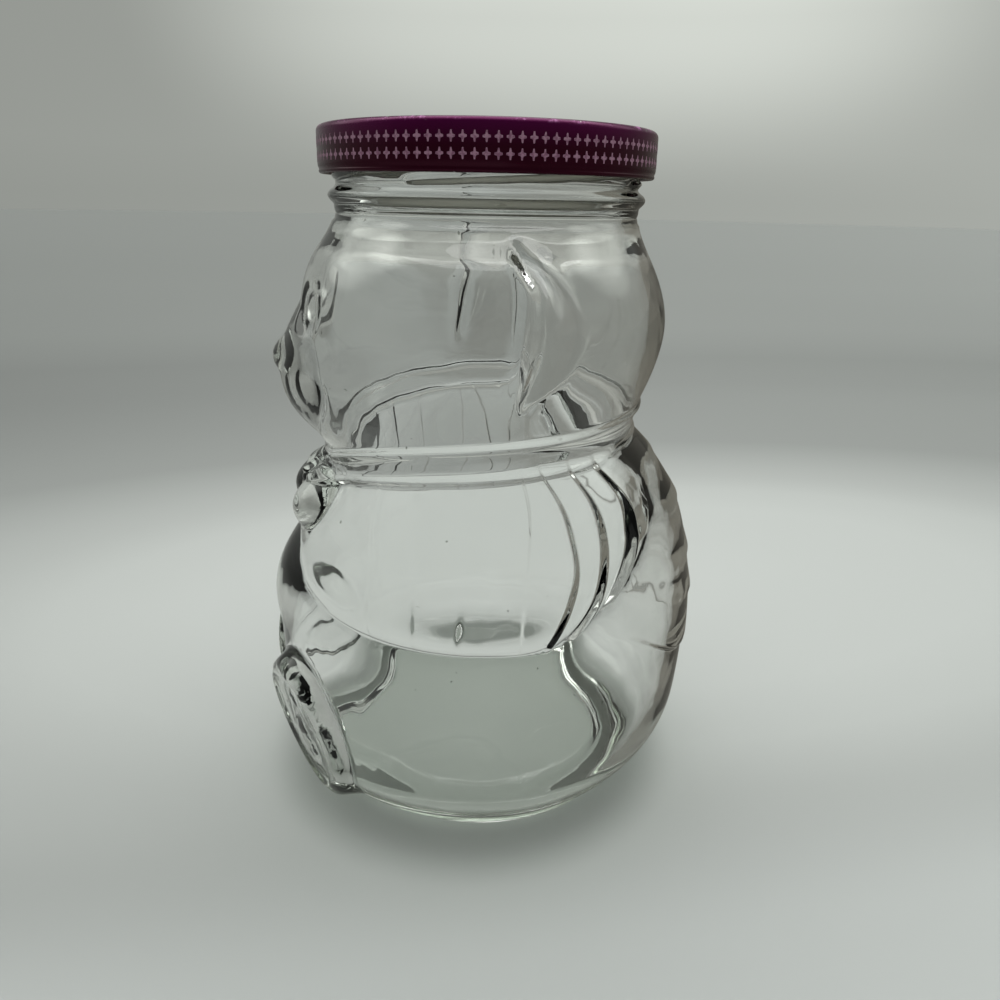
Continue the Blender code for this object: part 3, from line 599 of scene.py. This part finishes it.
THREAD_STARTS = (50.0, 140.0, 230.0, 320.0)
THREAD_LEAD = 14.0
THREAD_FOOT = 166.1
THREAD_TURN = 112.0
BEAD_HEIGHT = 163.0
BEAD_REACH = 1.5


def finish_radius(angle, z):
    """The round neck above the bear: its bead, and the four threads under the lid."""
    turn = angle % 360.0
    radius = NECK_RADIUS + (FINISH_RADIUS - NECK_RADIUS) * smooth((z - 164.0) / 2.0)
    radius = radius + BEAD_REACH * ridge(z - BEAD_HEIGHT, 2.1) - 0.35 * ridge(z - 158.9, 0.9)
    for start in THREAD_STARTS:
        past = (turn - start) % 360.0
        middle = THREAD_FOOT + THREAD_LEAD * past / 360.0
        ends = smooth(past / 9.0) * smooth((THREAD_TURN - past) / 9.0)
        radius = radius + 1.0 * ridge(z - middle, 1.1) * ends
    return radius


# The rows of the outside are nominal heights. Between the marks they stretch, so that they follow the
# sleeve's lower edge and the ribbon's two edges round the bear. The columns crowd towards the ribs' cuts.
NOMINAL_MARKS = (0.0, 62.0, 98.0, 106.4, NECK_FOOT)
EDGE_ROUND = ((0, 67.0), (10, 67.5), (20, 68.6), (35, 64.4), (50, 62.3), (65, 61.2), (80, 60.8), (95, 61.5),
              (108, 65.5), (118, 61.5), (130, 54.0), (150, 45.5), (180, 44.7))
HALF_COLUMNS = 225
BODY_ROWS = 144
FINISH_ROWS = 34


def crowded(start, end, count, peaks):
    """count + 1 places from start to end, closer together round each peak of (place, half width, share)."""
    fine = np.linspace(start, end, 4000)
    weight = np.ones_like(fine)
    for place, half_width, share in peaks:
        weight = weight + share * np.exp(-(((fine - place) / half_width) ** 2))
    total = np.concatenate([[0.0], np.cumsum((weight[1:] + weight[:-1]) / 2.0)])
    return np.interp(np.linspace(0.0, total[-1], count + 1), total, fine)


column_marks = [cut[0][2] for cut in RIB_CUTS]
column_peaks = [(14.0, 14.0, 0.9), (89.3, 1.6, 1.0)]
column_peaks += [(place, 0.8, 1.4) for place in column_marks[:DEEP_CUTS_FROM]]
column_peaks += [(place, 1.0, 5.0) for place in column_marks[DEEP_CUTS_FROM:]]
half_angles = crowded(0.0, 180.0, HALF_COLUMNS, column_peaks)
column_angles = np.concatenate([half_angles, -half_angles[-2:0:-1]])
row_peaks = [(NOMINAL_MARKS[1], 1.6, 2.2), (NOMINAL_MARKS[2], 1.5, 1.6), (NOMINAL_MARKS[3], 1.5, 1.6)]
row_peaks += [(137.0, 7.0, 0.5), (4.0, 5.0, 0.8)]
row_heights = crowded(0.0, NECK_FOOT, BODY_ROWS, row_peaks)


def row_place(nominal, angle):
    """The real height of a nominal row at an angle."""
    angle = np.abs(angle)
    middle = curve(RIBBON_MIDDLE, angle)
    marks = (np.zeros_like(middle), curve(EDGE_ROUND, angle), middle - RIBBON_HALF_HEIGHT,
             middle + RIBBON_HALF_HEIGHT, np.full_like(middle, NECK_FOOT))
    real = np.zeros_like(middle)
    for below in range(4):
        low, high = NOMINAL_MARKS[below], NOMINAL_MARKS[below + 1]
        share = np.clip((nominal - low) / (high - low), 0.0, 1.0)
        real = real + share * (marks[below + 1] - marks[below])
    return real


def column_place(nominal, z):
    """The real angle of a nominal column at a height: within the sleeve it leans with the cuts."""
    sign = np.where(nominal < 0.0, -1.0, 1.0)
    nominal = np.abs(nominal)
    within = smooth((z - 48.0) / 14.0) * smooth((118.0 - z) / 12.0)
    real = [np.zeros_like(z)] + [rib_angle(cut, z) for cut in range(len(RIB_CUTS))] + [np.full_like(z, 180.0)]
    marks = [0.0] + column_marks + [180.0]
    moved = np.zeros_like(z)
    for before in range(len(marks) - 1):
        low, high = marks[before], marks[before + 1]
        share = np.clip((nominal - low) / (high - low), 0.0, 1.0)
        moved = moved + share * (real[before + 1] - real[before])
    return sign * (nominal + (moved - nominal) * within)


def ring_points(angle, radius, z):
    turn = np.radians(angle)
    return np.stack([radius * np.sin(turn), -radius * np.cos(turn), z + 0.0 * turn], axis=-1)


# From the push-up down to the ring that the jar stands on: radius and height.
BASE_EDGE = ((37.0, 2.1), (38.5, 0.8), (39.6, 0.15), (40.3, 0.0), (43.0, 0.0))
rings = []
for radius in (8.0, 24.0, 34.0, 36.0):
    rings.append(ring_points(column_angles[::3], radius, PUSH_UP))
for radius, height in BASE_EDGE:
    rings.append(ring_points(column_angles, radius, height))
for nominal in row_heights:
    z = row_place(np.full_like(column_angles, nominal), column_angles)
    angle = column_place(column_angles, z)
    rings.append(ring_points(angle, bear_radius(angle, z), z))
for z in crowded(NECK_FOOT, RIM_HEIGHT - RIM_ROUND, FINISH_ROWS, [(BEAD_HEIGHT, 2.5, 0.8)])[1:]:
    rings.append(ring_points(column_angles, finish_radius(column_angles, z), z))
for turn in np.radians((30.0, 60.0, 90.0)):
    radius = FINISH_RADIUS - RIM_ROUND + RIM_ROUND * math.cos(turn)
    rings.append(ring_points(column_angles[::3], radius, RIM_HEIGHT - RIM_ROUND + RIM_ROUND * math.sin(turn)))
for turn in np.radians((90.0, 120.0, 150.0, 180.0)):
    radius = MOUTH_RADIUS + RIM_ROUND + RIM_ROUND * math.cos(turn)
    rings.append(ring_points(column_angles[::3], radius, RIM_HEIGHT - RIM_ROUND + RIM_ROUND * math.sin(turn)))

# The inside is the outside blurred, less the wall, and it is held back where the glass would get too thin.
# The ear is blurred by itself, so that its steep ends don't spread.
BLUR_STEP = 1.5
INNER_EAR_SHARE = 0.9
blur_heights = np.arange(-30.0, 186.0, BLUR_STEP)
blur_angles = np.arange(0.0, 360.0, BLUR_STEP)
grid_angle, grid_height = np.meshgrid((blur_angles + 180.0) % 360.0 - 180.0, blur_heights)
outside = bear_radius(grid_angle, np.clip(grid_height, 6.0, NECK_FOOT))
inner_ear = INNER_EAR_SHARE * ear(np.abs(grid_angle), grid_height)
outside = outside - inner_ear


def blurred(table, spread):
    """A Gaussian blur over this many steps, that wraps round the jar."""
    rows = np.arange(-15, 16)
    weights = np.exp(-((rows / spread) ** 2) / 2.0)
    padded = np.pad(table, ((15, 15), (0, 0)), mode="edge")
    table = sum(w * padded[15 + k:15 + k + table.shape[0]] for k, w in zip(rows, weights)) / weights.sum()
    return sum(w * np.roll(table, k, axis=1) for k, w in zip(rows, weights)) / weights.sum()


soft_outside = blurred(np.minimum(blurred(outside, 3.4), outside + WALL - THINNEST), 1.4)
soft_outside = soft_outside + blurred(inner_ear, 1.0)


def inner_radius(angle, z):
    column = (angle % 360.0) / BLUR_STEP
    row = (np.clip(z, 0.0, 180.0) - blur_heights[0]) / BLUR_STEP
    left, low = np.floor(column).astype(int), np.floor(row).astype(int)
    across, up = column - left, row - low
    right = (left + 1) % len(blur_angles)
    left = left % len(blur_angles)
    below = soft_outside[low, left] * (1 - across) + soft_outside[low, right] * across
    above = soft_outside[low + 1, left] * (1 - across) + soft_outside[low + 1, right] * across
    soft = below * (1 - up) + above * up - WALL
    return soft + (MOUTH_RADIUS - soft) * smooth((z - 147.0) / 12.0)


INNER_ROWS = 72
inner_angles = np.linspace(0.0, 360.0, len(column_angles) // 3, endpoint=False)
for z in np.linspace(172.0, INNER_FLOOR + INNER_CORNER, INNER_ROWS):
    heights = np.full_like(inner_angles, z)
    rings.append(ring_points(inner_angles, inner_radius(inner_angles, heights), z))
corner_top = np.full_like(inner_angles, INNER_FLOOR + INNER_CORNER)
corner_radius = inner_radius(inner_angles, corner_top) - INNER_CORNER
for turn in np.radians(np.linspace(0.0, 90.0, 9)[1:]):
    radius = corner_radius + INNER_CORNER * math.cos(turn)
    rings.append(ring_points(inner_angles, radius, INNER_FLOOR + INNER_CORNER * (1.0 - math.sin(turn))))
for share in (0.75, 0.5, 0.22):
    rings.append(ring_points(inner_angles, corner_radius * share, INNER_FLOOR - 0.3 * (1.0 - share)))


def closed_mesh(name, rings, first_centre, last_centre):
    """Joins rings of points into one closed skin. Where the count falls or grows threefold, it fans."""
    points = [first_centre]
    starts = []
    for ring in rings:
        starts.append(len(points))
        points.extend(map(tuple, ring))
    points.append(last_centre)
    faces = []
    first = len(rings[0])
    for k in range(first):
        faces.append((0, starts[0] + (k + 1) % first, starts[0] + k))
    for one in range(len(rings) - 1):
        low, high = starts[one], starts[one + 1]
        count, after = len(rings[one]), len(rings[one + 1])
        if count == after:
            for k in range(count):
                n = (k + 1) % count
                faces.append((low + k, low + n, high + n, high + k))
        elif after > count:
            for k in range(count):
                n = (k + 1) % count
                faces.append((low + k, high + 3 * k + 1, high + 3 * k))
                faces.append((low + k, low + n, high + 3 * k + 2, high + 3 * k + 1))
                faces.append((low + n, high + (3 * k + 3) % after, high + 3 * k + 2))
        else:
            for k in range(after):
                n = (k + 1) % after
                faces.append((low + 3 * k, low + 3 * k + 1, high + k))
                faces.append((low + 3 * k + 1, low + 3 * k + 2, high + n, high + k))
                faces.append((low + 3 * k + 2, low + (3 * k + 3) % count, high + n))
    last = len(rings[-1])
    for k in range(last):
        faces.append((starts[-1] + k, starts[-1] + (k + 1) % last, len(points) - 1))
    mesh = bpy.data.meshes.new(name)
    mesh.from_pydata([(x / 1000.0, y / 1000.0, z / 1000.0) for x, y, z in points], [], faces)
    mesh.shade_smooth()
    return mesh


jar_mesh = closed_mesh("glass_jar_blown", rings, (0.0, 0.0, PUSH_UP), (0.0, 0.0, INNER_FLOOR - 0.3))
glass, tree, shader = new_material(
    "clear_glass", Base_Color=(1.0, 1.0, 1.0, 1.0), Roughness=0.0, IOR=1.52, Transmission_Weight=1.0
)
place = object_place(tree)
ripple = noise(tree, place, 55.0, 2.0)
waves = bumped(tree, ripple, 0.0006, 0.35)
specks = noise(tree, place, 420.0, 1.0).rise(0.80, 0.83)
smudge = noise(tree, place, 35.0, 4.0).rise(0.62, 0.80)
feed(
    tree,
    shader,
    Base_Color=specks.mix((1.0, 1.0, 1.0, 1.0), (0.25, 0.26, 0.23, 1.0)),
    Roughness=smudge * 0.05,
    Normal=waves,
)
# Light from the lamp passes straight through, so that the jar's shadow is as light as a glass one.
from_lamp = light_path(tree, "Is Shadow Ray")
clear = Wire.node(tree, "ShaderNodeBsdfTransparent", {}, {"Color": (0.80, 0.82, 0.80, 1.0)})
shown = Wire.node(tree, "ShaderNodeMixShader", {}, {0: from_lamp, 1: Wire(shader.outputs[0]), 2: clear})
tree.links.new(shown.socket, tree.nodes["Material Output"].inputs["Surface"])
tint = Wire.node(
    tree, "ShaderNodeVolumeAbsorption", {}, {"Color": (0.70, 0.80, 0.68, 1.0), "Density": 14.0}
)
tree.links.new(tint.socket, tree.nodes["Material Output"].inputs["Volume"])
jar_mesh.materials.append(glass)
jar = bpy.data.objects.new("glass_jar_blown", jar_mesh)
bpy.context.scene.collection.objects.link(jar)
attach(jar, "jar")
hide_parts("glass_jar")


# Lid
# One disc of tinplate, pressed to a shallow cap with a curled edge and four lugs that hold under the threads.
# Its outside has clear deep purple lacquer over the bright tin, and its inside a pale greyish gold one.
LID_TOP = 178.8
LID_BOTTOM = 167.9
LID_RADIUS = 42.5
SHEET = 0.3
CURL = 0.6
LID_CORNER = 1.4
PANEL_DROP = 0.6
LUG_ANGLES = (65.0, 155.0, 245.0, 335.0)
LUG_HALF_TURN = 5.4
# A lug's section: how far it is from the axis, and its height above the lid's edge.
LUG_ROOT = 42.0
LUG_SECTION = ((LUG_ROOT, 0.25), (40.6, 0.22), (39.4, 0.35), (38.85, 0.62), (39.0, 0.95), (40.0, 0.80),
               (LUG_ROOT, 0.95))


def arc(middle, radius, start, end, count):
    turns = np.radians(np.linspace(start, end, count))
    return [(middle[0] + radius * math.cos(t), middle[1] + radius * math.sin(t)) for t in turns]


shoulder = (LID_RADIUS - LID_CORNER, LID_TOP - LID_CORNER)
curl_middle = (LID_RADIUS - 0.2 - CURL, LID_BOTTOM + CURL)
lid_outside = [(10.0, LID_TOP - PANEL_DROP), (24.0, LID_TOP - PANEL_DROP), (31.6, LID_TOP - PANEL_DROP)]
lid_outside += [(32.4, LID_TOP - 0.4), (33.2, LID_TOP - 0.1), (34.0, LID_TOP), (38.5, LID_TOP)]
lid_outside += arc(shoulder, LID_CORNER, 90.0, 0.0, 8)
lid_outside += [(LID_RADIUS, z) for z in (175.0, 172.5, 170.5)]
lid_outside += [(LID_RADIUS, LID_BOTTOM + 2.1), (LID_RADIUS - 0.08, LID_BOTTOM + 1.6)]
lid_outside += arc(curl_middle, CURL, 40.0, -180.0, 14)
lid_inside = [(LID_RADIUS - SHEET - 0.2, LID_BOTTOM + 1.25), (LID_RADIUS - SHEET, LID_BOTTOM + 1.8)]
lid_inside += [(LID_RADIUS - SHEET, 172.0), (LID_RADIUS - SHEET, 176.0)]
lid_inside += arc(shoulder, LID_CORNER - SHEET, 0.0, 90.0, 6)
lid_inside += [(34.0, LID_TOP - SHEET), (33.2, LID_TOP - 0.4), (32.4, LID_TOP - 0.7)]
lid_inside += [(31.6, LID_TOP - PANEL_DROP - SHEET), (20.0, LID_TOP - PANEL_DROP - SHEET)]
lid_turns = np.arange(0.0, 360.0, 2.0)
lid_rings = [ring_points(lid_turns, radius, z) for radius, z in lid_outside + lid_inside]
panel_middle = (0.0, 0.0, LID_TOP - PANEL_DROP)
lid_mesh = closed_mesh("lid_pressed", lid_rings, panel_middle, (0.0, 0.0, LID_TOP - PANEL_DROP - SHEET))
lid_mesh.flip_normals()
outside_faces = len(lid_turns) * len(lid_outside)
for face_number, one_face in enumerate(lid_mesh.polygons):
    one_face.material_index = 0 if face_number < outside_faces else 1

# The lacquer is painted darker and redder down the skirt and lighter and more purple towards the top, as
# painted light from above. At the top rim it is chipped to bare tin, and worn, where a paler pink stands both
# for the wear and for a painted highlight.
LACQUER_LOW = (0.036, 0.0005, 0.010, 1.0)
LACQUER_HIGH = (0.085, 0.0015, 0.050, 1.0)
LACQUER_WORN_AND_HIGHLIGHT = (0.42, 0.16, 0.36, 1.0)
BARE_TIN = (0.30, 0.28, 0.26, 1.0)
lacquer, tree, shader = new_material(
    "lid_lacquer", Metallic=0.55, IOR=1.5, Coat_Weight=0.12, Coat_Roughness=0.06, Specular_IOR_Level=0.15
)
place = object_place(tree)
height = part_of(tree, place, "Z")
# Painted light: the lacquer's colour grows lighter towards the top of the lid.
depth = height.rise(0.1725, 0.1790).mix(LACQUER_LOW, LACQUER_HIGH)
patches = noise(tree, place, 60.0, 4.0)
orange_peel = noise(tree, place, 700.0, 2.0)
scuffs = noise(tree, place, 260.0, 5.0, 0.7)
# Wear and painted highlight: along the top rim, scuffs show a paler pink, standing for worn lacquer and for
# the rim's highlight.
rim = height.rise(0.1776, 0.1787)
worn_and_highlight = scuffs.rise(0.54, 0.66) * rim
chips = noise(tree, place, 420.0, 2.0).rise(0.66, 0.70) * rim
feed(
    tree,
    shader,
    Base_Color=chips.mix(worn_and_highlight.mix(depth, LACQUER_WORN_AND_HIGHLIGHT), BARE_TIN),
    Roughness=patches * 0.16 + worn_and_highlight * 0.25 + 0.20,
    Normal=bumped(tree, orange_peel, 0.00002, 0.5),
)
lid_mesh.materials.append(lacquer)

lining, tree, shader = new_material(
    "lid_lining", Metallic=0.35, IOR=1.5, Coat_Weight=0.3, Coat_Roughness=0.15
)
place = object_place(tree)
streaks = noise(tree, place, 90.0, 4.0)
feed(
    tree,
    shader,
    Base_Color=streaks.rise(0.3, 0.7).mix((0.40, 0.38, 0.31, 1.0), (0.46, 0.44, 0.37, 1.0)),
    Roughness=streaks * 0.2 + 0.22,
    Normal=bumped(tree, noise(tree, place, 500.0, 2.0), 0.00002, 0.4),
)
lid_mesh.materials.append(lining)
lid = bpy.data.objects.new("lid_pressed", lid_mesh)
bpy.context.scene.collection.objects.link(lid)
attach(lid, "lid")
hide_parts("lid_shell")

# Each lug is pressed in from the curl, and slides under a thread when the lid turns.
lug_points = []
lug_faces = []
around = len(LUG_SECTION)
for lug_angle in LUG_ANGLES:
    first = len(lug_points)
    shares = np.linspace(-1.0, 1.0, 9)
    for share in shares:
        narrow = 1.0 - 0.55 * smooth((abs(share) - 0.55) / 0.45)
        for radius, above in LUG_SECTION:
            radius = LUG_ROOT - (LUG_ROOT - radius) * narrow
            turn = math.radians(lug_angle + share * LUG_HALF_TURN)
            lug_points.append((radius * math.sin(turn), -radius * math.cos(turn), LID_BOTTOM + above))
    for step in range(len(shares) - 1):
        for k in range(around):
            low, high = first + step * around, first + (step + 1) * around
            lug_faces.append((low + k, low + (k + 1) % around, high + (k + 1) % around, high + k))
    lug_faces.append(tuple(first + k for k in reversed(range(around))))
    lug_faces.append(tuple(first + (len(shares) - 1) * around + k for k in range(around)))
lug_mesh = bpy.data.meshes.new("lid_lugs")
lug_mesh.from_pydata([tuple(c / 1000.0 for c in point) for point in lug_points], [], lug_faces)
lug_mesh.materials.append(lacquer)
lugs = bpy.data.objects.new("lid_lugs", lug_mesh)
bpy.context.scene.collection.objects.link(lugs)
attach(lugs, "lid")


# Crosses on the lid
# Two rows of small crosses, printed round the skirt in a greyish mauve ink that lies on the lacquer. Each is
# three fields wide and three high, its arms narrow towards their ends, and the two rows stand in line.
CROSS_COUNT = 108
CROSS_SIZES = {
    "Count": ("NodeSocketInt", CROSS_COUNT),
    "Radius": ("NodeSocketFloat", 0.04251),
    "Lower height": ("NodeSocketFloat", 0.1716),
    "Upper height": ("NodeSocketFloat", 0.1749),
    "Width": ("NodeSocketFloat", 0.0017),
    "Height": ("NodeSocketFloat", 0.0023),
    "Ink thickness": ("NodeSocketFloat", 0.00002),
}
ink, tree, shader = new_material("lid_ink", IOR=1.45, Coat_Weight=0.2, Coat_Roughness=0.1)
place = object_place(tree)
thin = noise(tree, place, 1500.0, 2.0).rise(0.35, 0.60)
feed(
    tree,
    shader,
    Base_Color=thin.mix((0.18, 0.070, 0.125, 1.0), (0.30, 0.155, 0.225, 1.0)),
    Roughness=thin * 0.15 + 0.35,
    Normal=bumped(tree, noise(tree, place, 900.0, 2.0), 0.00001, 0.4),
)

rows = bpy.data.node_groups.new("rows_of_crosses", "GeometryNodeTree")
rows.interface.new_socket("Geometry", in_out="INPUT", socket_type="NodeSocketGeometry")
cross_inputs = {}
for name, (kind, value) in CROSS_SIZES.items():
    cross_inputs[name] = rows.interface.new_socket(name, in_out="INPUT", socket_type=kind)
    cross_inputs[name].default_value = value
rows.interface.new_socket("Geometry", in_out="OUTPUT", socket_type="NodeSocketGeometry")
given = rows.nodes.new("NodeGroupInput")
size_of = {name: Wire(given.outputs[name]) for name in CROSS_SIZES}


def geometry(kind, settings=None, out=0, **sockets):
    wires = {name.replace("_", " "): value for name, value in sockets.items()}
    return Wire.node(rows, kind, settings or {}, wires, out)


def joined(*parts):
    join = rows.nodes.new("GeometryNodeJoinGeometry")
    for part in parts:
        rows.links.new(part.socket, join.inputs[0])
    return Wire(join.outputs[0])


nine = geometry("GeometryNodeMeshGrid", Size_X=2.0, Size_Y=2.0, Vertices_X=4, Vertices_Y=4)
index = geometry("GeometryNodeInputIndex")
is_corner = (1.0 - index.math("MODULO", 2.0)) * (index - 4.0).math("ABSOLUTE").math("MINIMUM", 1.0)
cut_out = geometry("GeometryNodeDeleteGeometry", {"domain": "FACE"}, Geometry=nine, Selection=is_corner)
corner = geometry("GeometryNodeInputPosition")
at_x, at_y = part_of(rows, corner, "X"), part_of(rows, corner, "Y")
narrow_x, narrow_y = at_y * at_y * -0.52 + 1.06, at_x * at_x * -0.52 + 1.06
tapered = geometry("ShaderNodeCombineXYZ", X=at_x * narrow_x, Y=at_y * narrow_y)
flat = geometry("GeometryNodeSetPosition", Geometry=cut_out, Position=tapered)
ink_up = size_of["Ink thickness"]
raised = geometry("GeometryNodeExtrudeMesh", Mesh=flat, Offset_Scale=ink_up, Individual=False)
underside = geometry("GeometryNodeFlipFaces", Mesh=flat)
plate = geometry("GeometryNodeMergeByDistance", Geometry=joined(raised, underside), Distance=1e-7)
spots = []
for level in ("Lower height", "Upper height"):
    circle = geometry("GeometryNodeMeshCircle", Vertices=size_of["Count"], Radius=size_of["Radius"])
    lift = geometry("ShaderNodeCombineXYZ", Z=size_of[level])
    spots.append(geometry("GeometryNodeSetPosition", Geometry=circle, Offset=lift))
spin = geometry("GeometryNodeInputIndex") * (2.0 * math.pi) / size_of["Count"] + math.pi / 2.0
facing = geometry("ShaderNodeCombineXYZ", X=math.pi / 2.0, Z=spin)
spread_out = geometry("ShaderNodeCombineXYZ", X=size_of["Width"] * 0.5, Y=size_of["Height"] * 0.5, Z=1.0)
stamped = geometry("GeometryNodeInstanceOnPoints", Points=joined(*spots), Instance=plate, Rotation=facing,
                   Scale=spread_out)
solid = geometry("GeometryNodeRealizeInstances", Geometry=stamped)
coloured = geometry("GeometryNodeSetMaterial", Geometry=solid, Material=ink)
leaving = rows.nodes.new("NodeGroupOutput")
rows.links.new(coloured.socket, leaving.inputs[0])

pattern = bpy.data.objects.new("pattern", bpy.data.meshes.new("pattern"))
bpy.context.scene.collection.objects.link(pattern)
modifier = pattern.modifiers.new("rows", "NODES")
modifier.node_group = rows
for name, (kind, value) in CROSS_SIZES.items():
    modifier[cross_inputs[name].identifier] = value
graph = bpy.context.evaluated_depsgraph_get()
cross_mesh = bpy.data.meshes.new_from_object(pattern.evaluated_get(graph))
bpy.data.objects.remove(pattern)
cross_mesh.name = "lid_crosses"
crosses = bpy.data.objects.new("lid_crosses", cross_mesh)
bpy.context.scene.collection.objects.link(crosses)
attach(crosses, "lid")


# Seal ring
# A ring of soft off-white compound, flowed into the lid's channel, where the rim of the glass presses into
# it. It is the CAD ring, with a material of its own.
compound, tree, shader = new_material("seal_compound", IOR=1.5, Sheen_Weight=0.1)
place = object_place(tree)
flow = noise(tree, place, 120.0, 4.0)
feed(
    tree,
    shader,
    Base_Color=flow.rise(0.3, 0.7).mix((0.66, 0.66, 0.61, 1.0), (0.58, 0.58, 0.53, 1.0)),
    Roughness=flow * 0.2 + 0.42,
    Normal=bumped(tree, noise(tree, place, 350.0, 3.0), 0.00005, 0.5),
)
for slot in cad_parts["seal_ring"].material_slots:
    slot.material = compound
